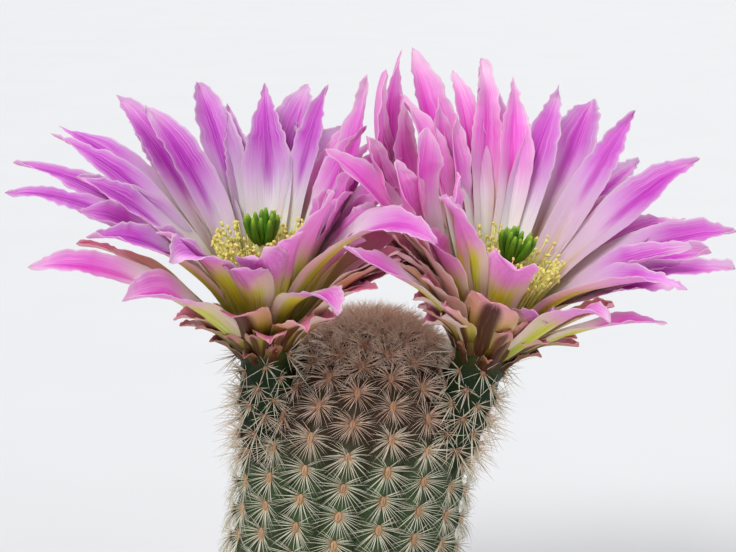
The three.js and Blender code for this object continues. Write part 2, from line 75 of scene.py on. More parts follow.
# ---- spines of the stem ----
COMB = 17  # radial spines on each side of an areole
COMB_SPREAD = (-84, 54)  # degrees up the rib, from the lowest spine to the highest
CENTRALS = 30  # young spines that stand up from each areole near the crown
CENTRAL_LIFT = (6, 56)
CENTRAL_LENGTH = (3.6, 6.6)
SPINE_LENGTH = 8
SPINE_RADIUS = 0.1
SPINE_LIFT = 33  # degrees over the skin
CROWN_LIFT = 46
WOOL = (0.65, 1.25, 0.45)  # half sizes of an areole's cushion: across, along and above the rib
TUFTS = 84  # bunches of young spines that cover the crown
TUFT_SPINES = 30
TUFT_LIFT = (10, 62)
TUFT_LENGTH = (3.4, 5.6)
TUFT_ZONE = 20  # how far from the crown's middle they reach

# ---- flowers ----
TUBE_PROFILE = [(-9, 6.5), (-5, 6.2), (0, 6.0), (4, 6.9), (8, 8.3)]  # height and radius
TUBE_FOOT = [(0, 4.6), (0.2, 5.5), (0.45, 6.1), (0.75, 6.4), (1, 6.5)]  # share of the bend and radius
TUBE_COLUMNS = 64
CUP_PROFILE = [(4.4, -0.65), (6.9, 8.6), (6.4, 9.0), (5.9, 8.6), (3.2, 0.8)]
CUP_COLUMNS = 40
TUBE_BEND_ROWS = 26  # rows of the skin in the bend, and above it
TUBE_MOUTH_ROWS = 22
TUBE_AREOLES = 46
TUBE_AREOLE_ROWS = (3.0, 40.5)
TUBE_BARE = 0.1  # share of those rows at the foot without areoles
TUBE_FAN = 20  # spines of an areole on a tube
TUBE_LIFT = (18, 60)  # degrees over the tube, and of every third spine
TUBE_THIRD_LIFT = (50, 82)
TUBE_LENGTH = (4.4, 6.8)
TUBE_WOOL = 0.62

# Foot of each kind of leaf on the flower: radius, height, angle from the axis, share of the width at the
# claw, thickness at the midrib, and how freely its blade waves.
WHORLS = {
    "inner": (5.5, 7.5, 21, 0.46, 0.5, 1.0),
    "middle": (5.65, 7.3, 24, 0.46, 0.5, 1.0),
    "extra": (5.65, 7.3, 24, 0.46, 0.5, 1.0),
    "outer": (5.7, 7.1, 28, 0.46, 0.5, 1.0),
    "sepal": (7.1, 4.6, 40, 0.6, 0.6, 0.75),
    "bract": (6.9, 3.4, 36, 0.6, 0.6, 0.45),
    "scale": (6.0, 1.0, 36, 0.8, 0.7, 0.45),
}
PETALOID_REACH = 23  # outer leaves that reach this far and are this wide look like petals
PETALOID_WIDTH = 9
# Each leaf: azimuth (0 right, 90 back), reach, rise, width, twist, bend of its end, and for some how blunt
# the tip is (1 is drawn out, 4 is broad) and the angle of their foot from the axis.
LEFT_LEAVES = {
    "inner": [
        (88, 36, 56, 12, 0, 6, 1.1), (62, 35, 57, 7.5, 0, 6), (136, 37, 55, 9.5, -12, 8),
        (163, 50, 52, 8, -32, 10), (200, 40, 51.5, 8.5, -45, 4), (342, 17, 43, 6.5, 30, 10),
        (243, 37.5, 37.5, 13.5, -26, 34, 1.9), (306, 18.5, 37, 11, 14, 6, 2.4),
        (274, 20, 33, 12, 0, 16, 4), (18, 26, 54, 8, 20, 8),
    ],
    "extra": [
        (100, 33, 42, 12, 0, 8), (124, 34, 43, 11, -6, 8), (150, 42, 42, 10, -16, 12),
        (172, 42, 44, 10, -30, 10), (190, 40, 41, 10, -36, 12), (206, 30, 36, 10, -34, 16),
        (36, 32, 46, 10, 12, 6), (22, 27, 44, 9, 18, 8), (350, 22, 42, 9, 24, 14),
        (50, 38, 50, 10, 10, 10), (12, 34, 46, 9, 20, 0, 1.7, 32), (80, 40, 48, 12, 4, 10),
        (226, 30, 40, 9, -24, 16), (342, 30, 39, 10, 20, 14), (358, 33, 41, 10, 14, 12),
        (103, 37, 51, 7, 0, 8),
    ],
    "middle": [
        (111, 43, 55.5, 9.5, 0, 10, 3), (76, 46, 53.5, 10.5, 0, 10, 2.4),
        (30, 30.5, 63.5, 8, 20, -10, 1.7, 30), (139, 45, 56, 10, -15, 8), (152, 54, 51, 9, -30, 8),
        (180, 57, 43.5, 8, -30, 12), (213, 42, 41, 9.5, -35, 14), (258, 24, 31.5, 11, -6, 16, 3),
        (304, 33.5, 22, 11, -14, 44, 2.4), (325, 23, 45, 10, 22, 8), (0, 24, 47, 8, 20, 10),
    ],
    "outer": [
        (130, 51, 48, 11, -12, 12), (100, 48.7, 43.5, 9.5, 0, 12), (66, 48, 43, 9.5, 0, 12),
        (166, 59, 45.5, 7.5, -30, 12), (30, 36, 46, 8.5, 15, 12), (338, 27, 32, 8, 15, 20),
        (326, 49, 38, 12, 30, 46, 1.5, 20),
    ],
    "sepal": [
        (192, 52.5, 29.5, 10, -28, 12), (230, 43, 29, 12.5, -36, 24, 2), (254, 20, 18, 12.5, 6, 52, 4),
        (300, 22, 15, 10, 0, 30), (278, 19, 12, 8, 0, 26), (338, 35, 29, 8.5, 0, 12),
        (178, 42, 30, 5, -20, 10), (217, 24, 17, 8, 0, 16), (121, 36, 26, 7, 0, 14),
        (84, 36, 26, 7, 0, 14), (356, 34, 26, 8.5, 0, 12), (16, 31, 25, 8, 0, 14),
    ],
    "fold": [
        (322, 22, 15, 8, 0, 12), (331, 31, 23, 10, 6, 18), (345, 33, 24, 11, -4, 16),
        (3, 31, 22.5, 10.5, 5, 12), (20, 29, 21, 10, -5, 12), (338, 35, 30.5, 10.5, 4, 20),
        (354, 37, 34, 12, 28, 18), (12, 33, 27, 10, 4, 16), (346, 37, 27.5, 10.5, 5, 14),
    ],
    "scale": [
        (285, 11, 7, 4, 0, 4), (200, 13, 7, 5, 0, 4),
    ],
}
RIGHT_LEAVES = {
    "inner": [
        (159, 40, 63, 13, -20, -34, 1.6, 50), (130, 37, 58.5, 10.5, -8, 6), (118, 37, 62.5, 9, 0, 4),
        (106, 33, 60.5, 8.5, 0, 6), (86, 35, 61, 9.5, 0, 6), (54, 35.5, 61, 8.5, 8, 6),
        (30, 43.5, 57, 9.5, 24, 6), (190, 29, 53, 13, -52, -28, 3, 42), (222, 32.5, 44, 9, -26, 12),
        (262, 21, 33.5, 11.5, 8, 18, 5), (322, 42, 40.5, 10, 24, 16),
    ],
    "extra": [
        (148, 31, 55, 10, -14, -14, 1.7, 34), (122, 38, 52, 11, -6, 4), (98, 34, 44, 11, 4, 8),
        (165, 36, 55, 11, -22, -26, 1.7, 46), (182, 42, 46, 11, -36, -6, 1.7, 50),
        (198, 36, 46, 11, -40, -14, 2, 46), (204, 28, 33, 10, -24, 6, 1.7, 34),
        (172, 31, 35, 12, -12, 6, 1.7, 36), (188, 30, 34, 10, -16, 6, 1.7, 36), (145, 28, 52, 9, 10, 0),
        (64, 36, 44, 12, 6, 10), (40, 38, 44, 11, 16, 10), (20, 40, 44, 10, 26, 8),
        (-4, 42, 42, 11, 34, 12), (-20, 36, 35, 10, 30, 14),
    ],
    "middle": [
        (134, 49, 59, 13, -8, -6, 1.7, 34), (112, 44, 58, 12.5, 0, 8), (73, 42.5, 58.5, 11.5, 0, 8, 2.6),
        (6, 48, 47, 10, 34, 8), (-12, 47.5, 42, 8, 30, 10), (-18, 37, 45, 9.5, 30, 12),
        (192, 51, 44, 11.5, -38, 2, 1.5, 42), (208, 24.5, 47, 11, -45, -8, 2.6),
        (172, 41, 60, 11, -24, -36, 1.6, 50), (158, 38, 54, 10, -10, 8),
    ],
    "outer": [
        (89, 47.5, 45, 7.5, 0, 10), (54, 48.5, 46.5, 8.5, 0, 10), (12, 46, 45, 9, 26, 12),
        (295, 19, 21.5, 9, 0, 24, 3), (165, 38, 40, 9, 0, 12),
    ],
    "sepal": [
        (302, 35.5, 30, 9.5, 12, 40), (-29, 38.5, 29, 9, 4, 8), (216, 52, 30, 9, -16, -8),
        (256, 18.5, 23, 13, 0, 4, 3), (312, 17, 14, 7, 0, 14), (230, 24, 18, 7.5, 0, 0),
        (196, 33, 23, 8, 0, 8), (174, 32, 22, 8, 0, 8), (128, 36, 28, 7, 0, 14), (68, 36, 30, 7, 0, 14),
        (34, 36, 28, 7, 0, 14), (2, 26, 22, 7, 0, 14),
    ],
    "fold": [
        (224, 20, 14, 9, 0, 6), (208, 24, 16, 10, 4, 8), (191, 26, 18.5, 10.5, -4, 8),
        (174, 24, 16, 10, 5, 8), (156, 25, 18, 9, 0, 8), (216, 27, 22.5, 10, -4, 10),
        (200, 31, 25, 11, 5, 12), (182, 30, 23, 10.5, -5, 10), (207, 29, 31.5, 11, -26, 8),
        (190, 32, 32, 10.5, -4, 12), (184, 34, 27, 11, 4, 10), (168, 31, 27, 11, 0, 12),
        (197, 32, 28, 12, -32, 10), (203, 18, 9, 8.5, 0, 6), (176, 18, 9, 8.5, 0, 6),
    ],
    "scale": [
        (277, 13.5, 15.5, 6.5, 0, 4), (350, 13, 7, 5, 0, 4),
    ],
}
BRACTS = 12
BRACT_SIZES = ((13, 22), (9, 18), (3.6, 5.6))  # ranges of reach, rise and width
SCALES = 7
SCALE_SIZES = ((9.5, 12), (5, 8.5), (2.2, 3.2))
TROUGH = 0.28
WAVE = 0.8
WAVE_TURNS = 2.2
WAVE_LAG = 1.9
LEAF_ROWS = 46
LEAF_COLUMNS = 15
WIDEST = 0.6  # share of a blade's length where it is widest

FLOWERS = {
    "left": {
        "base": (-12.8, -14, 87.2), "lean": -2, "nod": 10, "root": (207, 60, 5), "leaves": LEFT_LEAVES,
        "style": 28.4, "sway": 0.9, "stigma": 17, "seed": 3,
    },
    "right": {
        "base": (37.5, -14, 86), "lean": 17, "nod": 10, "root": (333, 59, 5), "leaves": RIGHT_LEAVES,
        "style": 26.2, "sway": -1.0, "stigma": 17, "seed": 5,
    },
}
STAMENS = 340
STAMEN_FOOT = (3.0, 6.0)  # from the flower's axis to the feet
STAMEN_REACH = (4.4, 11.0)  # from the axis to the anthers
STAMEN_RISE = (-5.0, 2.5)  # from the style's top to the anthers
FILAMENT_RADIUS = 0.13
ANTHER = (0.32, 0.34, 0.62)  # half sizes
STYLE_RADII = (0.95, 1.9)
LOBES = 14
LOBE_LENGTH = 7.6
LOBE_RADIUS = 0.7
STEM_SEED = 11

SKY = 0.42  # strength of the even light from all sides
SUNS = {  # where each sun stands, its strength and how wide it looks, in degrees
    "key": (-125, 48, 1.9, 24),
    "fill": (-40, 25, 0.6, 50),
    "back": (75, 40, 1.3, 20),
}
FLOOR_SIZE = 60  # metres
CAMERA_TARGET = (11.3, 0, 103.6)
CAMERA_DISTANCE = 490
CAMERA_ELEVATION = 12
CAMERA_LENS = 100
CAMERA_SENSOR = 36


# ---- numbers ----
def unit(v):
    return v / np.linalg.norm(v, axis=-1, keepdims=True)


def lerp(a, b, t):
    return a + (b - a) * t


def smooth(t, low=0.0, high=1.0):
    x = np.clip((t - low) / (high - low), 0, 1)
    return x * x * (3 - 2 * x)


def circle(count):
    return 2 * np.pi * np.arange(count) / count


def turned(one, two, angle):
    """Directions turned from one towards two."""
    return one * np.cos(angle) + two * np.sin(angle)


def tangents(points):
    return unit(np.gradient(points, axis=0))


def bezier(controls, t):
    """Points of a cubic or quadratic Bezier curve at t."""
    points = [np.asarray(c, float)[None] for c in controls]
    while len(points) > 1:
        points = [lerp(a, b, t[:, None]) for a, b in zip(points, points[1:])]
    return points[0]


# ---- meshes ----
def loft(rings, start, end, **values):
    """Closed skins over k stacks of rings (k, n, m, 3), each ring anticlockwise seen from the end.

    start and end (k, 3) close the skins. Values go to the vertices: a list holds one for each stack, and
    anything else spreads over the n rings of m points.
    """
    k, n, m, _ = rings.shape
    count = n * m + 2
    points = np.concatenate([rings.reshape(k, n * m, 3), start[:, None], end[:, None]], 1)
    row = np.arange(n - 1)[:, None] * m
    j = np.arange(m)
    after = (j + 1) % m
    quads = np.stack([row + j, row + after, row + m + after, row + m + j], -1).reshape(-1, 4)
    top = (n - 1) * m
    first = np.stack([np.full(m, n * m), after, j], -1)
    last = np.stack([np.full(m, n * m + 1), top + j, top + after], -1)
    shift = (np.arange(k) * count)[:, None, None]
    given = {}
    for name, value in values.items():
        whole = np.reshape(value, (k, 1, 1)) if np.ndim(value) == 1 else value
        full = np.broadcast_to(whole, (k, n, m)).astype(np.float32)
        ends = [full[:, 0].mean(-1)[:, None], full[:, -1].mean(-1)[:, None]]
        given[name] = np.concatenate([full.reshape(k, n * m), *ends], 1).ravel()
    return {
        "points": points.reshape(-1, 3),
        "quads": (quads[None] + shift).reshape(-1, 4),
        "triangles": (np.concatenate([first, last])[None] + shift).reshape(-1, 3),
        "values": given,
    }


def mesh_piece(name, skins, material, body="root"):
    """One object from closed skins, in metres, riding on a body."""
    offsets = np.cumsum([0] + [len(s["points"]) for s in skins])
    points = np.concatenate([s["points"] for s in skins]) * MM
    quads = np.concatenate([s["quads"] + o for s, o in zip(skins, offsets)])
    triangles = np.concatenate([s["triangles"] + o for s, o in zip(skins, offsets)])
    mesh = bpy.data.meshes.new(name)
    mesh.from_pydata(points, [], quads.tolist() + triangles.tolist(), shade_flat=False)
    for key in skins[0]["values"]:
        attribute = mesh.attributes.new(key, "FLOAT", "POINT")
        attribute.data.foreach_set("value", np.concatenate([s["values"][key] for s in skins]))
    mesh.materials.append(material)
    piece = bpy.data.objects.new(name, mesh)
    bpy.context.scene.collection.objects.link(piece)
    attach(piece, body)
    return piece


def needles(keep, feet, ways, bends, lengths, radii, **values):
    """The spines to keep: tapering, bent three-sided rods from their feet to their points."""
    feet, ways, bends, lengths, radii = (x[keep] for x in (feet, ways, bends, lengths, radii))
    t = np.array([0, 0.3, 0.65])
    reach = lengths[:, None, None] * t[:, None]
    centre = feet[:, None] + ways[:, None] * reach + bends[:, None] * (t**2)[:, None]
    hint = np.where(np.abs(ways[:, 2:]) < 0.8, [[0.0, 0.0, 1.0]], [[1.0, 0.0, 0.0]])
    one = unit(np.cross(hint, ways))
    spoke = turned(one[:, None], np.cross(ways, one)[:, None], circle(3)[:, None])
    thick = radii[:, None] * np.array([1, 0.85, 0.55])
    rings = centre[:, :, None] + thick[:, :, None, None] * spoke[:, None]
    start = feet - ways * radii[:, None]
    end = feet + ways * lengths[:, None] + bends
    kept = {name: value[keep] for name, value in values.items()}
    return loft(rings, start, end, along=t[:, None] / 0.65 * 0.8, **kept)


def pads(centres, across, along, above, sizes, rng, **values):
    """Small rough cushions: ellipsoids with half sizes (k, 3) across, along and above."""
    height = np.array([-0.55, 0.0, 0.45, 0.8])
    turn = circle(9)[:, None]
    rough = 1 + 0.14 * rng.uniform(-1, 1, (len(centres), 4, 9, 1))
    a, b, c = (sizes[:, i, None, None, None] for i in range(3))
    flat = np.sqrt(1 - height**2)[:, None, None] * rough
    rings = (
        centres[:, None, None]
        + across[:, None, None] * a * flat * np.cos(turn)
        + along[:, None, None] * b * flat * np.sin(turn)
        + above[:, None, None] * c * height[:, None, None]
    )
    top = above * sizes[:, 2:]
    return loft(rings, centres - top, centres + top, along=0.5 + 0.5 * height[:, None], **values)


# ---- materials ----
def rgb(red, green, blue):
    """A colour as the screen shows it, 0 to 255, for a shader socket."""
    levels = np.array([red, green, blue]) / 255
    linear = np.where(levels <= 0.04045, levels / 12.92, ((levels + 0.055) / 1.055) ** 2.4)
    return (*linear.tolist(), 1.0)


class Look:
    """A node material with one Principled shader, and short calls for the nodes that feed it.

    Colours are sockets, or red, green and blue as the screen shows them.
    """

    def __init__(self, name, **constants):
        self.material = bpy.data.materials.new(name)
        self.material.use_nodes = True
        self.nodes = self.material.node_tree.nodes
        self.links = self.material.node_tree.links
        self.shader = self.nodes["Principled BSDF"]
        for socket, value in constants.items():
            self.shader.inputs[socket.replace("_", " ")].default_value = value

    def node(self, kind, inputs, output=0, **settings):
        made = self.nodes.new(f"ShaderNode{kind}")
        for name, value in settings.items():
            setattr(made, name, value)
        for key, value in inputs.items():
            if isinstance(value, bpy.types.NodeSocket):
                self.links.new(value, made.inputs[key])
            else:
                made.inputs[key].default_value = value
        return made.outputs[output]

    def value(self, name):
        return self.node("Attribute", {}, "Fac", attribute_name=name)

    def place(self):
        return self.node("TexCoord", {}, "Object")

    def math(self, operation, a, b=0.0):
        return self.node("Math", {0: a, 1: b}, operation=operation)

    def times(self, a, b):
        return self.math("MULTIPLY", a, b)

    def swing(self, value, amount):
        """A value from 0 to 1, made to swing about nought."""
        return self.times(self.math("SUBTRACT", value, 0.5), amount)

    def step(self, value, low, high, end=1.0, start=0.0):
        inputs = {"Value": value, "From Min": low, "From Max": high, "To Min": start, "To Max": end}
        return self.node("MapRange", inputs, interpolation_type="SMOOTHSTEP")

    def noise(self, scale, detail=3.0, vector=None):
        inputs = {"Scale": scale, "Detail": detail, "Roughness": 0.55}
        return self.node("TexNoise", {**inputs, "Vector": vector or self.place()})

    def mix(self, factor, *colours):
        a, b = (rgb(*c) if isinstance(c, tuple) else c for c in colours)
        return self.node("Mix", {0: factor, 6: a, 7: b}, 2, data_type="RGBA")

    def over(self, colour, shade, *factors):
        """A colour with a shade over it, by the product of factors; a tuple is a step to take first."""
        product, *others = (self.step(*f) if isinstance(f, tuple) else f for f in factors)
        for factor in others:
            product = self.times(product, factor)
        return self.mix(product, colour, shade)

    def ramp(self, value, *stops):
        """Colours along a value; each stop is its place and its red, green and blue."""
        made = self.nodes.new("ShaderNodeValToRGB")
        elements = made.color_ramp.elements
        while len(elements) < len(stops):
            elements.new(0.5)
        for element, (place, *colour) in zip(elements, stops):
            element.position = place
            element.color = rgb(*colour)
        self.links.new(value, made.inputs[0])
        return made.outputs[0]

    def feed(self, socket, value):
        self.links.new(value, self.shader.inputs[socket])

    def finished(self, colour, height=None, distance=0.0, strength=1.0):
        """The material with its colour, and with bumps up to a distance in millimetres."""
        self.feed("Base Color", colour)
        if height is not None:
            inputs = {"Height": height, "Distance": distance * MM, "Strength": strength}
            self.feed("Normal", self.node("Bump", inputs))
        return self.material


def blade(look):
    """Fine veins along a petal or sepal, and how near a point is to its margin."""
    grid = {"X": look.times(look.value("across"), 9.0), "Y": look.times(look.value("along"), 2.2)}
    grid["Z"] = look.times(look.value("seed"), 37.0)
    lines = look.noise(1.6, 2.0, look.node("CombineXYZ", grid))
    return lines, look.math("ABSOLUTE", look.value("across"))


def petal_inside(look, along, edge, warm):
    """Yellow green at the very foot, then white or mauve, magenta with a deep middle line, pale margins."""
    cool = look.ramp(
        along,
        (0.0, 150, 156, 20), (0.2, 214, 208, 110), (0.32, 242, 238, 222), (0.44, 236, 224, 236),
        (0.56, 212, 164, 220), (0.7, 182, 56, 184), (0.87, 202, 90, 198), (1.0, 228, 170, 216),
    )
    rosy = look.ramp(
        along,
        (0.0, 164, 166, 30), (0.2, 226, 220, 136), (0.32, 252, 244, 230), (0.48, 248, 218, 236),
        (0.6, 244, 146, 222), (0.72, 242, 108, 214), (0.88, 246, 144, 218), (1.0, 250, 200, 228),
    )
    colour = look.mix(warm, cool, rosy)
    early = look.value("early")
    colour = look.over(colour, (208, 150, 196), (along, 0.66, 0.42, 0.7), (along, 0.15, 0.3), early)
    colour = look.over(colour, (200, 166, 90), (edge, 0.45, 0.05), (along, 0.46, 0.24, 0.8), early)
    deep = look.mix(warm, (160, 22, 166), (232, 40, 192))
    strong = look.math("SUBTRACT", 0.92, look.times(warm, 0.22))
    colour = look.over(colour, deep, (edge, 0.4, 0.04), (along, 0.42, 0.6), (along, 1.0, 0.74), strong)
    margin = look.mix(warm, (210, 170, 216), (250, 190, 232))
    return look.over(colour, margin, (edge, 0.5, 1.0, 0.5), (along, 0.3, 0.7))


def petal_outside(look, along, edge, warm):
    """Yellow green at the foot, rose above, with paler flanks and a darker keel."""
    colour = look.ramp(
        along,
        (0.0, 120, 126, 0), (0.28, 190, 196, 0), (0.46, 210, 206, 50), (0.57, 222, 178, 150),
        (0.68, 218, 130, 184), (0.88, 228, 122, 206), (1.0, 240, 172, 214),
    )
    colour = look.over(colour, (240, 204, 188), (edge, 0.35, 0.8, 0.85), (along, 0.8, 0.35))
    keel = look.math("SUBTRACT", 0.6, look.times(warm, 0.35))
    colour = look.over(colour, (176, 58, 120), (edge, 0.26, 0.04), (along, 0.46, 0.62), keel)
    return look.over(colour, (250, 140, 214), warm, (along, 0.45, 0.7, 0.8))


def petal_look():
    look = Look(
        "petal", Roughness=0.42, Specular_IOR_Level=0.25, Subsurface_Weight=0.35,
        Subsurface_Radius=(1.0, 0.55, 0.9), Subsurface_Scale=0.002,
    )
    lines, edge = blade(look)
    wander = look.math("ADD", look.swing(lines, 0.18), look.swing(look.value("seed"), 0.12))
    along, warm = look.math("ADD", look.value("along"), wander), look.value("warm")
    outside = petal_outside(look, along, edge, warm)
    colour = look.mix(look.value("inside"), outside, petal_inside(look, along, edge, warm))
    colour = look.over(colour, (198, 168, 200), look.value("pale"), (edge, 0.12, 0.6, 0.85, 0.15))
    colour = look.over(colour, (250, 222, 248), (lines, 0.45, 0.75, 0.25))
    colour = look.over(colour, (250, 222, 236), (edge, 0.86, 1.0, 0.45), (along, 0.45, 0.8))
    look.feed("Roughness", look.math("ADD", look.times(lines, 0.2), 0.36))
    return look.finished(colour, lines, 0.16, 0.7)


def sepal_look():
    """Tan to rose leaves with a broad maroon stripe and dark feet, partly painted shade, darker from the
    sepals down to the scales.
    """
    look = Look(
        "sepal", Roughness=0.48, Specular_IOR_Level=0.2, Subsurface_Weight=0.08,
        Subsurface_Radius=(1.0, 0.5, 0.4), Subsurface_Scale=0.0008,
    )
    lines, edge = blade(look)
    seed, low, band, inside = map(look.value, ("seed", "dark", "band", "inside"))
    along = look.math("ADD", look.value("along"), look.swing(lines, 0.2))
    upper = look.ramp(
        along,
        (0.0, 136, 128, 6), (0.2, 172, 164, 20), (0.42, 198, 176, 74), (0.68, 222, 168, 136),
        (1.0, 242, 160, 186),
    )
    lower = look.ramp(
        along, (0.0, 40, 44, 6), (0.35, 70, 46, 12), (0.75, 136, 88, 52), (1.0, 180, 120, 90)
    )
    inner = look.ramp(
        along,
        (0.0, 138, 144, 20), (0.3, 206, 186, 116), (0.55, 238, 180, 196), (0.8, 236, 140, 188),
        (1.0, 230, 142, 168),
    )
    outer = look.over(look.mix(low, upper, lower), (250, 224, 212), (band, 0.4, 0.2, 0.6))
    colour = look.mix(inside, outer, look.over(inner, lower, low, 0.7))
    maroon = look.mix(seed, (92, 28, 18), (54, 14, 8))
    maroon = look.over(maroon, (92, 84, 6), (seed, 0.88, 0.96))
    amount = look.math("SUBTRACT", 0.95, look.times(inside, 0.7))
    colour = look.over(colour, maroon, (edge, 0.55, 0.22), band, (along, 1.05, 0.8), amount)
    # Darker brown feet: partly the leaves' own dark maroon, partly painted shade at the flower's foot.
    colour = look.over(colour, (72, 32, 6), (along, 0.5, 0.08, 0.9), band)
    colour = look.over(colour, (222, 178, 150), (lines, 0.45, 0.8, 0.1))
    colour = look.over(colour, (240, 200, 190), (edge, 0.88, 1.0, 0.5))
    return look.finished(colour, lines, 0.2, 0.6)


def skin_look():
    """The stem's green skin, paler on its ridges as a painted highlight, darker in its furrows as painted
    shade, brown as painted shade under the young spines, with a corky foot.
    """
    look = Look("stem_skin", Roughness=0.55, Specular_IOR_Level=0.25)
    broad, fine = look.noise(90.0, 4.0), look.noise(900.0)
    ridge = look.value("ridge")
    green = look.mix(broad, (38, 52, 26), (62, 78, 42))
    # Painted highlight: the ridges of the ribs are paler.
    green = look.over(green, (82, 106, 74), (ridge, 0.2, 1.0, 0.35))
    # Painted shade: the furrows between the ribs are darker.
    green = look.over(green, (14, 24, 14), (ridge, 0.25, 0.0, 0.6))
    green = look.over(green, (110, 124, 92), (fine, 0.6, 0.7, 0.25))
    # Painted shade: the skin turns brown-black near the crown, where the dense young spines shade it.
    brown = look.mix(fine, (32, 18, 8), (66, 40, 20))
    green = look.over(green, brown, look.value("young"), 0.9)
    height = look.node("SeparateXYZ", {0: look.place()}, 2)
    low = look.math("ADD", height, look.swing(broad, 0.012))
    cork = look.mix(fine, (120, 92, 62), (172, 140, 100))
    colour = look.over(green, cork, (low, 0.006, 0.001))
    colour = look.over(colour, (112, 108, 66), (low, 0.03, 0.004, 0.5))
    look.feed("Roughness", look.step(fine, 0.3, 0.7, 0.7, 0.45))
    return look.finished(colour, look.math("ADD", fine, look.times(broad, 2.0)), 0.12, 0.7)


def spine_look():
    """Whitish spines with a tan foot and point; the young ones pinkish tan."""
    look = Look("spine", Roughness=0.36, Subsurface_Weight=0.1, Subsurface_Scale=0.0004)
    along, young, seed = map(look.value, ("along", "young", "seed"))
    old = look.ramp(
        along,
        (0.0, 196, 136, 84), (0.1, 226, 196, 154), (0.35, 238, 234, 212), (0.8, 222, 218, 192),
        (1.0, 190, 168, 134),
    )
    fresh = look.ramp(
        along, (0.0, 166, 116, 88), (0.3, 222, 178, 154), (0.8, 252, 220, 200), (1.0, 234, 186, 164)
    )
    dusky = look.ramp(along, (0.0, 136, 86, 64), (0.5, 212, 160, 134), (1.0, 232, 184, 160))
    colour = look.mix(young, old, look.over(fresh, dusky, (seed, 0.4, 0.85)))
    colour = look.over(colour, (176, 140, 106), seed, 0.15)
    return look.finished(look.over(colour, (252, 248, 236), look.noise(1400.0, 2.0), 0.25))


def wool_look():
    """Felt of the areoles: tan, with a brown middle."""
    look = Look("areole_wool", Roughness=0.95, Sheen_Weight=0.4)
    young, seed, along = map(look.value, ("young", "seed", "along"))
    fuzz = look.noise(2600.0)
    old = look.ramp(along, (0.0, 226, 200, 162), (0.6, 212, 170, 126), (1.0, 186, 136, 94))
    fresh = look.mix(along, (104, 62, 42), (168, 112, 80))
    colour = look.over(look.mix(young, old, fresh), (236, 208, 164), fuzz, 0.35)
    return look.finished(look.over(colour, (138, 80, 40), seed, 0.4), fuzz, 0.35)


def tube_look():
    look = Look("tube_skin", Roughness=0.5, Specular_IOR_Level=0.2)
    broad, fine = look.noise(220.0), look.noise(1300.0)
    colour = look.mix(broad, (8, 28, 8), (24, 50, 18))
    colour = look.over(colour, (84, 78, 20), (look.value("along"), 0.7, 1.0, 0.8))
    colour = look.over(colour, (84, 112, 56), (fine, 0.6, 0.75, 0.35))
    return look.finished(colour, look.math("ADD", fine, broad), 0.15, 0.6)


def cup_look():
    look = Look("flower_cup", Roughness=0.5, Subsurface_Weight=0.2, Subsurface_Scale=0.001)
    grain = look.noise(700.0)
    return look.finished(look.mix(grain, (130, 140, 24), (186, 184, 70)), grain, 0.1, 0.5)


def stamen_look():
    look = Look("stamen", Roughness=0.6, Subsurface_Weight=0.2, Subsurface_Scale=0.0006)
    grain = look.noise(3000.0)
    thread = look.ramp(look.value("along"), (0.0, 206, 206, 60), (1.0, 246, 238, 150))
    pollen = look.mix(grain, (226, 214, 70), (250, 246, 160))
    return look.finished(look.mix(look.value("anther"), thread, pollen), grain, 0.08, 0.8)


def pistil_look():
    look = Look("pistil", Roughness=0.5, Subsurface_Weight=0.1, Subsurface_Scale=0.0008)
    cells = look.node("TexVoronoi", {"Vector": look.place(), "Scale": 3600.0}, "Distance")
    stops = (0.0, 120, 140, 30), (0.2, 60, 108, 0), (0.85, 82, 138, 2), (1.0, 140, 184, 30)
    lobe = look.over(look.ramp(look.value("along"), *stops), (134, 190, 40), (cells, 0.5, 0.1, 0.35))
    style = look.mix(look.noise(900.0), (206, 206, 130), (228, 222, 160))
    return look.finished(look.mix(look.value("lobe"), style, lobe), cells, -0.12, 0.8)


def floor_look():
    look = Look("pale_floor", Roughness=0.85)
    return look.finished(look.mix(look.noise(14.0, 2.0), (217.85, 217.85, 219.22), (221.94, 221.94, 223.28)))


# ---- stem ----
def meridian(s):
    """Radius, height and tilt of the stem's outline at a distance along it from the foot."""
    s = np.asarray(s, float)
    column = STEM_RADIUS - (STEM_RADIUS - FOOT_RADIUS) * np.exp(-s / FOOT_FLARE)
    turn = (np.pi / 2) * np.clip((s - SHOULDER) / DOME_ARC, 0, 1)
    radius = np.where(s <= SHOULDER, column, STEM_RADIUS * np.cos(turn))
    height = np.where(s <= SHOULDER, s, SHOULDER + (HEIGHT - SHOULDER) * np.sin(turn))
    return radius, height, turn


def axis_x(z):
    return LEAN * z - STRAIGHTEN * z * z


def stem_point(s, angle, relief):
    radius, z, tilt = meridian(s)
    rise = relief * np.sqrt(np.maximum(radius, 0) / STEM_RADIUS)
    a = angle + SPIRAL * z
    out = radius + rise * np.cos(tilt)
    return np.stack([axis_x(z) + out * np.cos(a), out * np.sin(a), z + rise * np.sin(tilt)], -1)


def stem_normal(s, angle):
    _, z, tilt = meridian(s)
    a = angle + SPIRAL * z
    return np.stack([np.cos(a) * np.cos(tilt), np.sin(a) * np.cos(tilt), np.sin(tilt)], -1)


def stem_rows():
    """Distances along the meridian of the half steps between areoles, as in the solids."""
    rows = [0.0]
    while rows[-1] < MERIDIAN - 3:
        near = float(smooth(rows[-1], MERIDIAN - CROWN_ZONE, MERIDIAN))
        rows.append(rows[-1] + (AREOLE_SPACING / 2) * (1 - CROWN_CROWDING * near))
    return np.array(rows)


def stem_relief(s, angle):
    """Height of the skin over the meridian, and how near a point is to a rib's ridge."""
    rows = stem_rows()
    turn = angle / (2 * np.pi) * RIBS
    rib = np.round(turn)
    off = np.abs(turn - rib) * 2
    ridge = 1 - off**1.5
    place = np.interp(s, rows, np.arange(len(rows))) + rib
    from_areole = np.abs(place - 2 * np.round(place / 2))
    bump = np.exp(-((from_areole / 0.55) ** 2)) * np.exp(-((off / 0.6) ** 2))
    return FURROW * (ridge - 0.5) + TUBERCLE * bump, ridge


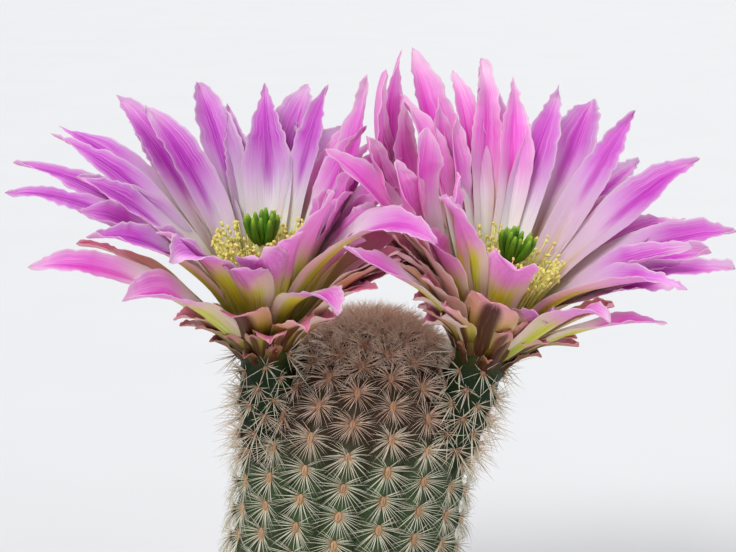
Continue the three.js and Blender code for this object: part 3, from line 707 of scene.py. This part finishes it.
def stem_skin():
    s = np.arange(0, MERIDIAN - 0.3, STEM_STEP)
    grid_s, grid_a = np.meshgrid(s, circle(RIBS * RIB_COLUMNS), indexing="ij")
    relief, ridge = stem_relief(grid_s, grid_a)
    rings = stem_point(grid_s, grid_a, relief)[None]
    rings[0, 0, :, 2] = 0
    crown = stem_point(np.array([MERIDIAN]), 0, 0)
    # How far the skin is painted brown-black as shade under the young spines near the crown.
    young = smooth(s, SHOULDER - 6, SHOULDER + 9)[:, None]
    return loft(rings, np.zeros((1, 3)), crown, ridge=ridge, young=young)


def stem_areoles():
    """Places, directions up the ribs, outward directions and nearness to the crown of the areoles."""
    rows = stem_rows()
    spots = [(row, rib) for row in range(1, len(rows)) for rib in range(RIBS) if (row + rib) % 2 == 0]
    row, rib = np.array(spots).T
    s, angle = rows[row], 2 * np.pi * rib / RIBS
    relief, _ = stem_relief(s, angle)
    along = unit(stem_point(s + 0.5, angle, 0) - stem_point(s - 0.5, angle, 0))
    return stem_point(s, angle, relief), along, stem_normal(s, angle), meridian(s)[2] / (np.pi / 2)


def radial_spines(areoles, rng):
    """The comb of spines that spreads from both sides of every areole and droops over the skin."""
    at, along, normal, crown = areoles
    across = unit(np.cross(along, normal))
    j = np.arange(2 * COMB)
    side = np.where(j < COMB, 1.0, -1.0)
    share = ((j % COMB) + 0.5) / COMB * 2 - 1  # -1 low to 1 high
    jitter = rng.uniform(-1, 1, (len(at), 2 * COMB, 4))
    spread = np.radians(lerp(*COMB_SPREAD, (share + 1) / 2) + 5 * jitter[..., 0])
    lift = np.radians(lerp(SPINE_LIFT, CROWN_LIFT, crown**1.3)[:, None] + 14 * jitter[..., 1])
    sideways = across[:, None] * (side * np.cos(spread))[..., None]
    flat = sideways + along[:, None] * np.sin(spread)[..., None]
    ways = turned(flat, normal[:, None], lift[..., None])
    feet = at[:, None] + sideways * 0.5 + along[:, None] * 1.2 * share[:, None]
    feet = feet - normal[:, None] * 0.1
    lengths = SPINE_LENGTH * (1 - 0.38 * np.abs(share) ** 2) * (1 + 0.1 * jitter[..., 2])
    lengths = lengths * (1 - 0.12 * smooth(crown, 0.0, 0.3)[:, None])
    droop = (2.3 * (1 - 0.6 * crown))[:, None, None] * (lengths / SPINE_LENGTH)[..., None] ** 2
    fall = (1.0 + 0.4 * jitter[..., 3]) * np.cos(spread)
    bends = -normal[:, None] * droop - along[:, None] * fall[..., None]
    return feet, ways, bends, lengths, crown


def central_spines(areoles, rng):
    """Fine young spines that stand up from the areoles near the crown."""
    at, along, normal, crown = (x[areoles[3] > 0.03] for x in areoles)
    across = unit(np.cross(along, normal))
    shape = (len(at), CENTRALS)
    turn = rng.uniform(0, 2 * np.pi, shape)[..., None]
    lift = np.radians(rng.uniform(*CENTRAL_LIFT, shape))[..., None]
    flat = turned(across[:, None], along[:, None], turn)
    ways = turned(flat, normal[:, None], lift)
    lengths = rng.uniform(*CENTRAL_LENGTH, shape) * smooth(crown, -0.15, 0.2)[:, None]
    return at[:, None] + flat * 0.4, ways, rng.normal(0, 0.45, (*shape, 3)), lengths, crown


def crown_tuft(rng):
    """Bunches of young spines that lie over one another on the crown."""
    k = np.arange(TUFTS)
    s = MERIDIAN - TUFT_ZONE * np.sqrt((k + 0.5) / TUFTS)
    angle = 2 * np.pi * GOLDEN * k
    normal = stem_normal(s, angle)
    one = unit(np.cross(normal, [0.3, 1.0, 0.2]))
    shape = (TUFTS, TUFT_SPINES, 1)
    over = turned(one[:, None], np.cross(normal, one)[:, None], rng.uniform(0, 2 * np.pi, shape))
    ways = turned(over, normal[:, None], np.radians(rng.uniform(*TUFT_LIFT, shape)))
    feet = stem_point(s, angle, 0)[:, None] + over * 0.7
    bends = over * rng.uniform(0, 1.2, shape) + rng.normal(0, 0.25, ways.shape)
    lengths = rng.uniform(*TUFT_LENGTH, shape[:2])
    return feet, ways, bends, lengths, lerp(0.6, 1.15, (k * GOLDEN * 7.3) % 1)


def stem_spines(spines, tubes, rng):
    """Needles for one kind of the stem's spines, where the flowers leave room."""
    feet, ways, bends, lengths, crown = spines
    fan, count = lengths.shape[1], lengths.size
    young = np.repeat(smooth(crown, -0.04, 0.3), fan)
    bunch = np.repeat(rng.uniform(0, 1, len(crown)), fan)
    feet, ways, bends = (x.reshape(count, 3) for x in (feet, ways, bends))
    lengths = lengths.reshape(count)
    radii = SPINE_RADIUS * rng.uniform(0.8, 1.2, count) * lerp(1, 0.8, young)
    tips = feet + ways * lengths[:, None] + bends
    keep = (tube_room(feet, tubes) > 0.2) & (tube_room(tips, tubes) > 0) & (tips[:, 2] > 0.6)
    young = np.clip(young + rng.uniform(-0.2, 0.2, count), 0, 1)
    high = np.repeat(smooth(crown, 0.45, 0.8), fan)
    seed = lerp(bunch, rng.uniform(0, 1, count), 0.5) * lerp(1, 0.3, high)
    return needles(keep, feet, ways, bends, lengths, radii, young=young, seed=seed)


def stem_wool(areoles, rng):
    """Felt cushions of the stem's areoles, each with a darker furrow along its middle."""
    at, along, normal, crown = areoles
    across = unit(np.cross(along, normal))
    young = smooth(crown, 0.0, 0.45)
    sizes = np.array(WOOL) * lerp(1.0, 1.15, young)[:, None] * rng.uniform(0.85, 1.15, (len(at), 1))
    seed = rng.uniform(0, 0.8, len(at))
    cushion = pads(at + normal * 0.12, across, along, normal, sizes, rng, young=young, seed=seed)
    thin = sizes * np.array([0.3, 0.72, 0.75])
    furrow = pads(at + normal * 0.3, across, along, normal, thin, rng, young=young, seed=2.0)
    return [cushion, furrow]


# ---- flowers ----
class Frame:
    """A flower's own directions: its axis, right and back, and the base of its petals."""

    def __init__(self, base, lean, nod):
        self.origin = np.array(base, float)
        self.axis = unit(np.array([math.tan(math.radians(lean)), -math.tan(math.radians(nod)), 1]))
        self.right = unit(np.array([1.0, 0.0, 0.0]) - self.axis * self.axis[0])
        self.back = np.cross(self.axis, self.right)

    def out(self, azimuth):
        return turned(self.right, self.back, np.asarray(azimuth, float)[..., None])

    def at(self, radius, azimuth, height):
        radius, height = (np.asarray(x, float)[..., None] for x in (radius, height))
        return self.origin + self.out(azimuth) * radius + self.axis * height

    def round(self, azimuth):
        return self.out(np.asarray(azimuth, float) + np.pi / 2)


def midrib(frame, whorl, leaf, t):
    azimuth, reach, rise, _, _, bend = leaf[:6]
    radius, height, angle, *_ = WHORLS[whorl]
    angle = math.radians(leaf[7] if len(leaf) > 7 else angle)
    length = math.hypot(reach - radius, rise - height)
    up, end = 0.4 * length, 0.3 * length
    throat_r = radius + up * math.sin(angle)
    throat_z = height + up * math.cos(angle)
    out = math.atan2(reach - throat_r, rise - throat_z) + math.radians(bend)
    a = math.radians(azimuth)
    controls = [
        frame.at(radius, a, height),
        frame.at(throat_r, a, throat_z),
        frame.at(reach - end * math.sin(out), a, rise - end * math.cos(out)),
        frame.at(reach, a, rise),
    ]
    return bezier(controls, t)


def half_width(width, claw, t, point):
    """Half the width of a blade: a narrow claw, widest past the middle, drawn out to its tip."""
    low = lerp(claw, 1.0, smooth(t, 0, WIDEST))
    high = 1 - np.clip((t - WIDEST) / (1 - WIDEST), 0, 1) ** point
    return (width / 2) * np.where(t < WIDEST, low, high)


def blade_lift(rows, u, half, from_axis, azimuth, soft, rng):
    """How far a blade stands off its flat form: troughed, waved, rippled, rolled, buckled and hooked."""
    left, far = u < 0, np.abs(u)
    wrap = half * half * (1 - 0.6 * rows) / (2 * np.maximum(from_axis, 3)) * u**2
    crease = TROUGH * rng.uniform(0.7, 1.9) * half * (np.sqrt(u**2 + 0.04) - 0.2) / 0.82
    phase = 2 * np.pi * (WAVE_TURNS * rows + azimuth / 57) + np.where(left, 0, WAVE_LAG)
    wave = WAVE * rows * np.sin(phase) * far**1.6
    quick = 2 * np.pi * rng.uniform(6, 9) * rows + np.where(left, *rng.uniform(0, 6, 2))
    ripple = 0.3 * smooth(rows, 0.35, 0.9) * np.sin(quick) * far**3
    roll = np.where(left, *rng.uniform(-0.3, 1.5, 2)) * smooth(rows, 0.45, 0.95) * far**3
    turns, start = rng.uniform(0.8, 1.8), rng.uniform(0, 6, 2)
    buckle = 0.35 * np.sin(2 * np.pi * turns * rows + start[0]) * np.sin(2.5 * u + start[1])
    hook = rng.uniform(-1.6, 0.8) * smooth(rows, 0.78, 1.0) ** 2
    lift = wrap + crease + soft * (wave + ripple + roll + buckle * smooth(rows, 0.2, 0.6) + hook)
    return lift, hook[-1, 0]


def leaf_skin(frame, whorl, leaf, rng, **values):
    """A petal, sepal or scale: a thin trough-like blade, twisted, waved and toothed at its margins."""
    azimuth, _, _, width, twist, _ = leaf[:6]
    point = leaf[6] if len(leaf) > 6 else rng.uniform(1.4, 2.1)
    _, _, _, claw, thick, soft = WHORLS[whorl]
    ends = np.append(np.linspace(0, 1, LEAF_ROWS + 1)[:-1] ** 0.9, 1.0)
    rows = ends[:-1, None]
    u = np.sin(np.linspace(-np.pi / 2, np.pi / 2, LEAF_COLUMNS))[None]
    sideways = frame.round(math.radians(azimuth))
    sway = soft * rng.uniform(-1.3, 1.3) * np.sin(np.pi * ends) ** 2
    spine = midrib(frame, whorl, leaf, ends) + sideways * sway[:, None]
    centre, along = spine[:-1], tangents(spine)[:-1]
    side = unit(sideways[None] - along * (along @ sideways)[:, None])
    face = np.cross(along, side)
    turn = math.radians(twist) * rows**1.3
    across, inward = turned(side, face, turn), face * np.cos(turn) - side * np.sin(turn)
    half = half_width(width, claw, rows, point)
    from_axis = np.linalg.norm(np.cross(centre - frame.origin, frame.axis), axis=1)[:, None]
    tooth = rng.uniform(-0.44, 0.4, (2, LEAF_ROWS))[..., None] * soft
    tooth = tooth * smooth(rows, 0.45, 0.8) * smooth(rows, 1.0, 0.95)
    stretch = (half + np.where(u < 0, *tooth)) * u
    lift, hook = blade_lift(rows, u, half, from_axis, azimuth, soft, rng)
    surface = centre[:, None] + across[:, None] * stretch[..., None] + inward[:, None] * lift[..., None]
    tip = spine[-1:] + inward[-1:] * soft * hook
    normal = unit(np.cross(np.gradient(surface, axis=0), np.gradient(surface, axis=1)))
    body = np.sqrt(np.maximum(1 - u**2, 0))
    keel = np.exp(-((u / 0.2) ** 2)) * (1 - rows)
    deep = (thick / 2) * (lerp(1.5, 0.55, smooth(rows, 0, 0.5)) * body + 0.5 * keel)
    offset = normal * deep[..., None]
    rings = np.concatenate([surface - offset, (surface + offset)[:, -2:0:-1]], 1)[None]
    columns = np.concatenate([u, u[:, -2:0:-1]], 1)
    inside = np.arange(columns.size)[None] >= LEAF_COLUMNS
    values = {"along": rows, "across": columns, "inside": inside, **values}
    return loft(rings, centre[:1], tip, seed=rng.uniform(), **values)


def tube_line(flower, frame):
    """Centre points and radii of a flower's tube, from under the stem's skin to its mouth."""
    azimuth, height, depth = flower["root"]
    radius, _, _ = meridian(height)
    a = math.radians(azimuth)
    out, up = np.array([math.cos(a), math.sin(a), 0.0]), np.array([0.0, 0.0, 1.0])
    start = np.array([axis_x(height), 0.0, height]) + out * (float(radius) - depth)
    first, last = TUBE_PROFILE[0][0], TUBE_PROFILE[-1][0]
    controls = [start, start + 4 * out + 4 * up, frame.at(0, 0, first - 5), frame.at(0, 0, first)]
    share = np.linspace(0, 1, TUBE_BEND_ROWS)
    heights = np.linspace(first, last, TUBE_MOUTH_ROWS)[1:]
    foot = np.interp(share, *np.transpose(TUBE_FOOT))
    mouth = np.interp(heights, *np.transpose(TUBE_PROFILE))
    centres = np.concatenate([bezier(controls, share), frame.at(0, 0, heights)])
    return centres, np.concatenate([foot, mouth])


def tube_room(points, tubes):
    """How far points are outside every tube."""
    room = np.full(len(points), np.inf)
    for centres, radii in tubes:
        for centre, radius in zip(centres, radii):
            room = np.minimum(room, np.linalg.norm(points - centre, axis=1) - radius)
    return room


def tube_frames(frame, centres):
    along = tangents(centres)
    right = unit(frame.right[None] - along * (along @ frame.right)[:, None])
    return along, right, np.cross(along, right)


def tube_skin(frame, centres, radii, areoles):
    """The tube's fleshy wall, swollen under each areole."""
    _, right, back = tube_frames(frame, centres)
    turn = circle(TUBE_COLUMNS)
    rows = np.arange(len(centres))
    swell = np.zeros((len(rows), TUBE_COLUMNS))
    for row, azimuth in areoles:
        away = np.angle(np.exp(1j * (turn - azimuth)))
        swell += 0.7 * np.exp(-(((rows - row)[:, None] / 2.2) ** 2) - (away[None] / 0.28) ** 2)
    fat = radii[:, None] - 0.35 + swell
    rings = (
        centres[:, None]
        + right[:, None] * (fat * np.cos(turn))[..., None]
        + back[:, None] * (fat * np.sin(turn))[..., None]
    )
    return loft(rings[None], centres[:1], centres[-1:], along=(rows / rows[-1])[:, None])


def tube_areoles():
    """Rows along the tube and azimuths of its areoles, on a spiral that is closer at its foot."""
    k = np.arange(TUBE_AREOLES)
    rows = lerp(*TUBE_AREOLE_ROWS, TUBE_BARE + (1 - TUBE_BARE) * (k / TUBE_AREOLES) ** 1.15)
    return list(zip(rows, 2 * np.pi * ((k * GOLDEN + 0.1) % 1)))


def tube_spots(frame, centres, radii, areoles):
    """Place, outward, upward and sideways directions of each areole on a tube."""
    along, right, back = tube_frames(frame, centres)
    rows, azimuth = np.array(areoles).T
    index = np.arange(len(centres))

    def between(values):
        return np.stack([np.interp(rows, index, values[:, i]) for i in range(3)], -1)

    out = unit(turned(between(right), between(back), azimuth[:, None]))
    up = unit(between(along))
    at = between(centres) + out * (np.interp(rows, index, radii) + 0.25)[:, None]
    return at, out, up, np.cross(up, out)


def tube_spines(spots, rng):
    """Stiff spines that fan out from the areoles of a tube, longer and denser lower down."""
    at, out, up, side = spots
    shape = (len(at), TUBE_FAN)
    turn = 2 * np.pi * (np.arange(TUBE_FAN) + rng.uniform(-0.3, 0.3, shape)) / TUBE_FAN
    lift = rng.uniform(*TUBE_LIFT, shape)
    lift[:, ::3] = rng.uniform(*TUBE_THIRD_LIFT, lift[:, ::3].shape)
    flat = turned(up[:, None], side[:, None], turn[..., None])
    ways = turned(flat, out[:, None], np.radians(lift)[..., None]).reshape(-1, 3)
    high = (np.arange(len(at)) / len(at))[:, None]
    lengths = lerp(*TUBE_LENGTH, 0.5 - 0.5 * np.cos(turn)) * rng.uniform(0.8, 1.15, shape)
    lengths = lengths * lerp(1.25, 0.95, smooth(high, 0.1, 0.6))
    lengths = lengths + 5.5 * smooth(high, 0.72, 1.0) * rng.uniform(0, 1, shape) ** 2
    size = lengths.size
    feet = (at[:, None] + flat * 0.4 - out[:, None] * 0.2).reshape(size, 3)
    lengths, bends = lengths.reshape(size), rng.normal(0, 0.5, (size, 3))
    radii = rng.uniform(0.09, 0.16, size)
    high = np.repeat(high[:, 0], TUBE_FAN)
    keep = stem_room(feet + ways * lengths[:, None] + bends) > 0.3
    keep &= rng.uniform(0, 1, size) < lerp(1, 0.6, smooth(high, 0.5, 0.8))
    pink = rng.uniform(0, 1, size) < lerp(0.75, 0.3, high)
    young = np.where(pink, rng.uniform(0.3, 0.9, size), 0.0)
    seed = 0.45 * rng.uniform(0, 1, size)
    return needles(keep, feet, ways, bends, lengths, radii, young=young, seed=seed)


def stem_room(points):
    """Roughly how far points are outside the stem."""
    z = points[:, 2]
    high = np.clip((z - SHOULDER) / (HEIGHT - SHOULDER), 0, 1)
    radius = STEM_RADIUS * np.sqrt(1 - high**2)
    return np.hypot(points[:, 0] - axis_x(z), points[:, 1]) - radius + np.maximum(z - HEIGHT, 0)


def cup_skin(frame):
    radius, height = np.transpose(CUP_PROFILE)[..., None]
    rings = frame.at(radius, circle(CUP_COLUMNS)[None], height)
    return loft(rings[None], frame.at(0, 0, height[0]), frame.at(0, 0, height[-1]), along=0.0)


def stamen_skins(frame, top, rng):
    """Filaments that rise from the throat and lean out to the petals, each with its anther."""
    k = STAMENS
    azimuth = 2 * np.pi * ((np.arange(k) * GOLDEN) % 1) + rng.uniform(-0.2, 0.2, k)
    foot = rng.uniform(*STAMEN_FOOT, k)
    away = rng.uniform(0, 1, k) ** 0.8
    reach = lerp(*STAMEN_REACH, away)
    height = top + lerp(*STAMEN_RISE, away) + rng.uniform(-3.0, 3.0, k)
    feet = frame.at(foot, azimuth, 5.5)
    knees = frame.at(lerp(foot, reach, 0.35), azimuth, lerp(5.5, height, 0.62))
    tips = frame.at(reach, azimuth + rng.uniform(-0.15, 0.15, k), height)
    t = np.linspace(0, 1, 7)[:, None]
    line = (1 - t) ** 2 * feet[:, None] + 2 * t * (1 - t) * knees[:, None] + t**2 * tips[:, None]
    way = unit(np.gradient(line, axis=1))
    one = unit(np.cross(way, frame.axis + 0.31 * frame.right))
    spoke = turned(one[:, :, None], np.cross(way, one)[:, :, None], circle(4)[:, None])
    threads = loft(line[:, :, None] + FILAMENT_RADIUS * spoke, feet, tips, along=t, anther=0.0)
    above = unit(way[:, -1] + rng.normal(0, 0.7, (k, 3)))
    across = unit(np.cross(above, frame.axis + 0.2 * frame.back))
    sizes = np.array([ANTHER]) * rng.uniform(0.85, 1.25, (k, 1))
    anthers = pads(tips, across, np.cross(above, across), above, sizes, rng, anther=1.0)
    return [threads, anthers]


def rod(line, radii, hint, sides, **values):
    way = tangents(line)
    one = unit(np.cross(way, hint))
    spoke = turned(one[:, None], np.cross(way, one)[:, None], circle(sides)[:, None])
    rings = (line[:, None] + radii[:, None, None] * spoke)[None]
    return loft(rings, line[:1] - way[:1] * 0.05, line[-1:] + way[-1:] * radii[-1] * 0.8, **values)


def pistil_skins(frame, top, sway, spread, rng):
    """The style and its star of finger-like lobes."""
    t = np.linspace(0, 1, 12)
    shift = frame.right * sway
    line = frame.at(0, 0, lerp(1.2, top, t)) + shift * (t**2)[:, None]
    radii = lerp(*STYLE_RADII, smooth(t, 0.85, 1.0))
    skins = [rod(line, radii, frame.right, 16, along=t[:, None], lobe=0.0)]
    t = np.linspace(0, 1, 18)
    slim = np.sqrt(1 - 0.75 * smooth(t, 0.8, 1.0))
    radii = LOBE_RADIUS * (0.55 + 0.45 * smooth(t, 0, 0.35)) * slim
    for k in range(LOBES):
        azimuth = 2 * np.pi * (k + 0.5 + 0.3 * rng.uniform()) / LOBES
        ring = 1.5 if k % 2 else 1.15
        length = LOBE_LENGTH * rng.uniform(0.9, 1.06)
        lean = math.radians(spread * (1.15 if k % 2 else 0.8) + rng.uniform(-3, 3))
        out, high = math.sin(lean) * length, math.cos(lean) * length
        controls = [
            frame.at(ring * 0.6, azimuth, top - 0.4),
            frame.at(ring + 0.85 * out, azimuth, top + 0.4 * high),
            frame.at(ring + out, azimuth, top + high),
        ]
        line = bezier(controls, t) + shift
        skins.append(rod(line, radii, frame.round(azimuth), 12, along=t[:, None], lobe=1.0))
    return skins


def small_leaves(count, shift, sizes, bend, rng):
    """Leaves all round a flower, each a little off its place, with sizes drawn from ranges."""
    leaves = []
    for k in range(count):
        azimuth = 360 * (k + shift + 0.35 * rng.uniform(-1, 1)) / count
        leaves.append((azimuth, *(rng.uniform(*size) for size in sizes), 0, bend))
    return leaves


def warmth(side, azimuth):
    """How far a petal's violet turns to rose."""
    if side == "left":
        return 0.08 if 60 < azimuth % 360 < 300 else 0.7
    return 1.0 if 95 < azimuth % 360 < 275 else 0.25


def blush(side, azimuth):
    """How far mauve and tan take the place of a petal's white."""
    if side == "left":
        return 0.5 if 125 < azimuth % 360 < 230 else 0.0
    return 0.9 if (azimuth + 60) % 360 < 135 else 0.0


def petaloid(leaf):
    return leaf[1] >= PETALOID_REACH and leaf[3] >= PETALOID_WIDTH


def petal_skins(side, frame, leaves, rng):
    """The petals, and the outer leaves that look like them: paler and greyer from whorl to whorl."""
    petals = []
    for whorl, grey in (("inner", 0.0), ("middle", 0.3), ("extra", 0.45), ("outer", 0.8)):
        for leaf in leaves[whorl]:
            pale = grey if 50 < leaf[0] % 360 < 130 else 0.1 * grey
            tone = {"warm": warmth(side, leaf[0]), "early": blush(side, leaf[0]), "pale": pale}
            petals.append(leaf_skin(frame, whorl, leaf, rng, **tone))
    outer = [leaf for leaf in leaves["sepal"] if petaloid(leaf)]
    return petals, [leaf_skin(frame, "sepal", leaf, rng, warm=0.8, pale=0.1) for leaf in outer]


def sepal_skins(frame, leaves, rng):
    """Sepals, the narrow ones that hug the flower's foot, folds, and the scales round the tube's mouth."""
    narrow = small_leaves(BRACTS, 0, BRACT_SIZES, 6, rng)
    pointed = small_leaves(SCALES, 0.5, SCALE_SIZES, 4, rng)
    kinds = (
        ("sepal", [leaf for leaf in leaves["sepal"] if not petaloid(leaf)], 0.0, 1.0),
        ("bract", narrow, 0.4, 0.9),
        ("sepal", leaves["fold"], 0.0, 0.2),
        ("scale", leaves["scale"], 0.8, 1.0),
        ("scale", pointed, 1.0, 0.6),
    )
    skins = []
    for whorl, chosen, dark, band in kinds:
        skins += [leaf_skin(frame, whorl, leaf, rng, dark=dark, band=band) for leaf in chosen]
    return skins


def build_flower(side, flower, looks):
    rng = np.random.default_rng(flower["seed"])
    frame = Frame(flower["base"], flower["lean"], flower["nod"])
    centres, radii = tube_line(flower, frame)

    def add(name, skins, look, node):
        piece = mesh_piece(f"{side}_{name}", skins, looks[look])
        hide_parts(f"{side}_flower_{node}")

    petals, outer = petal_skins(side, frame, flower["leaves"], rng)
    add("petals", petals, "petal", "petals")
    add("outer_petals", outer, "petal", "tube")
    add("cup", [cup_skin(frame)], "cup", "petals")
    add("sepals", sepal_skins(frame, flower["leaves"], rng), "sepal", "tube")
    areoles = tube_areoles()
    add("tube", [tube_skin(frame, centres, radii, areoles)], "tube", "tube")
    spots = tube_spots(frame, centres, radii, areoles)
    open_air = stem_room(spots[0]) > 0.4
    spots = [x[open_air] for x in spots]
    add("tube_spines", [tube_spines(spots, rng)], "spine", "tube")
    at, out, up, across = spots
    wool = pads(at, across, up, out, np.full((1, 3), TUBE_WOOL), rng, young=0.8, seed=0.6)
    add("tube_wool", [wool], "wool", "tube")
    add("stamens", stamen_skins(frame, flower["style"], rng), "stamen", "stamens")
    skins = pistil_skins(frame, flower["style"], flower["sway"], flower["stigma"], rng)
    add("pistil", skins, "pistil", "pistil")
    return centres, radii


def build_stem(tubes, looks):
    rng = np.random.default_rng(STEM_SEED)
    areoles = stem_areoles()
    clear = tube_room(areoles[0], tubes) > 0.2
    areoles = [x[clear] for x in areoles]
    spines = {
        "stem_spines": radial_spines(areoles, rng),
        "young_spines": central_spines(areoles, rng),
        "crown_spines": crown_tuft(rng),
    }
    pieces = [mesh_piece("stem_skin", [stem_skin()], looks["skin"])]
    for name, made in spines.items():
        pieces.append(mesh_piece(name, [stem_spines(made, tubes, rng)], looks["spine"]))
    pieces.append(mesh_piece("stem_wool", stem_wool(areoles, rng), looks["wool"]))
    for piece in pieces:
        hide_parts("stem")


# ---- studio ----
def studio():
    """A plain pale floor under a soft, even sky with three broad suns."""
    scene = bpy.context.scene
    scene.view_settings.view_transform = "Standard"
    scene.world = bpy.data.worlds.new("studio")
    scene.world.use_nodes = True
    sky = scene.world.node_tree.nodes["Background"].inputs
    sky[0].default_value = (0.93, 0.96, 1.0, 1)
    sky[1].default_value = SKY
    bpy.ops.mesh.primitive_plane_add(size=FLOOR_SIZE)
    floor = bpy.context.object
    floor.name = "floor"
    floor.data.materials.append(floor_look())
    for name, (azimuth, elevation, power, width) in SUNS.items():
        light = bpy.data.lights.new(name, "SUN")
        light.energy = power
        light.angle = math.radians(width)
        lamp = bpy.data.objects.new(name, light)
        scene.collection.objects.link(lamp)
        lamp.rotation_euler = (math.radians(90 - elevation), 0, math.radians(azimuth + 90))


def photo_camera():
    """The camera at the photograph's angle and framing."""
    elevation = math.radians(CAMERA_ELEVATION)
    ahead = np.array([0, math.cos(elevation), -math.sin(elevation)])
    data = bpy.data.cameras.new("photo_camera")
    data.lens = CAMERA_LENS
    data.sensor_width = CAMERA_SENSOR
    data.clip_start = 0.01
    camera = bpy.data.objects.new("photo_camera", data)
    camera.location = np.array(CAMERA_TARGET) * MM - ahead * CAMERA_DISTANCE * MM
    camera.rotation_euler = (math.pi / 2 - elevation, 0, 0)
    bpy.context.scene.collection.objects.link(camera)
    bpy.context.scene.camera = camera


def main():
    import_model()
    photo_camera()
    studio()
    looks = {
        "petal": petal_look(), "sepal": sepal_look(), "skin": skin_look(), "spine": spine_look(),
        "wool": wool_look(), "tube": tube_look(), "cup": cup_look(), "stamen": stamen_look(),
        "pistil": pistil_look(),
    }
    tubes = [build_flower(side, flower, looks) for side, flower in FLOWERS.items()]
    build_stem(tubes, looks)
    bpy.context.view_layer.update()


main()
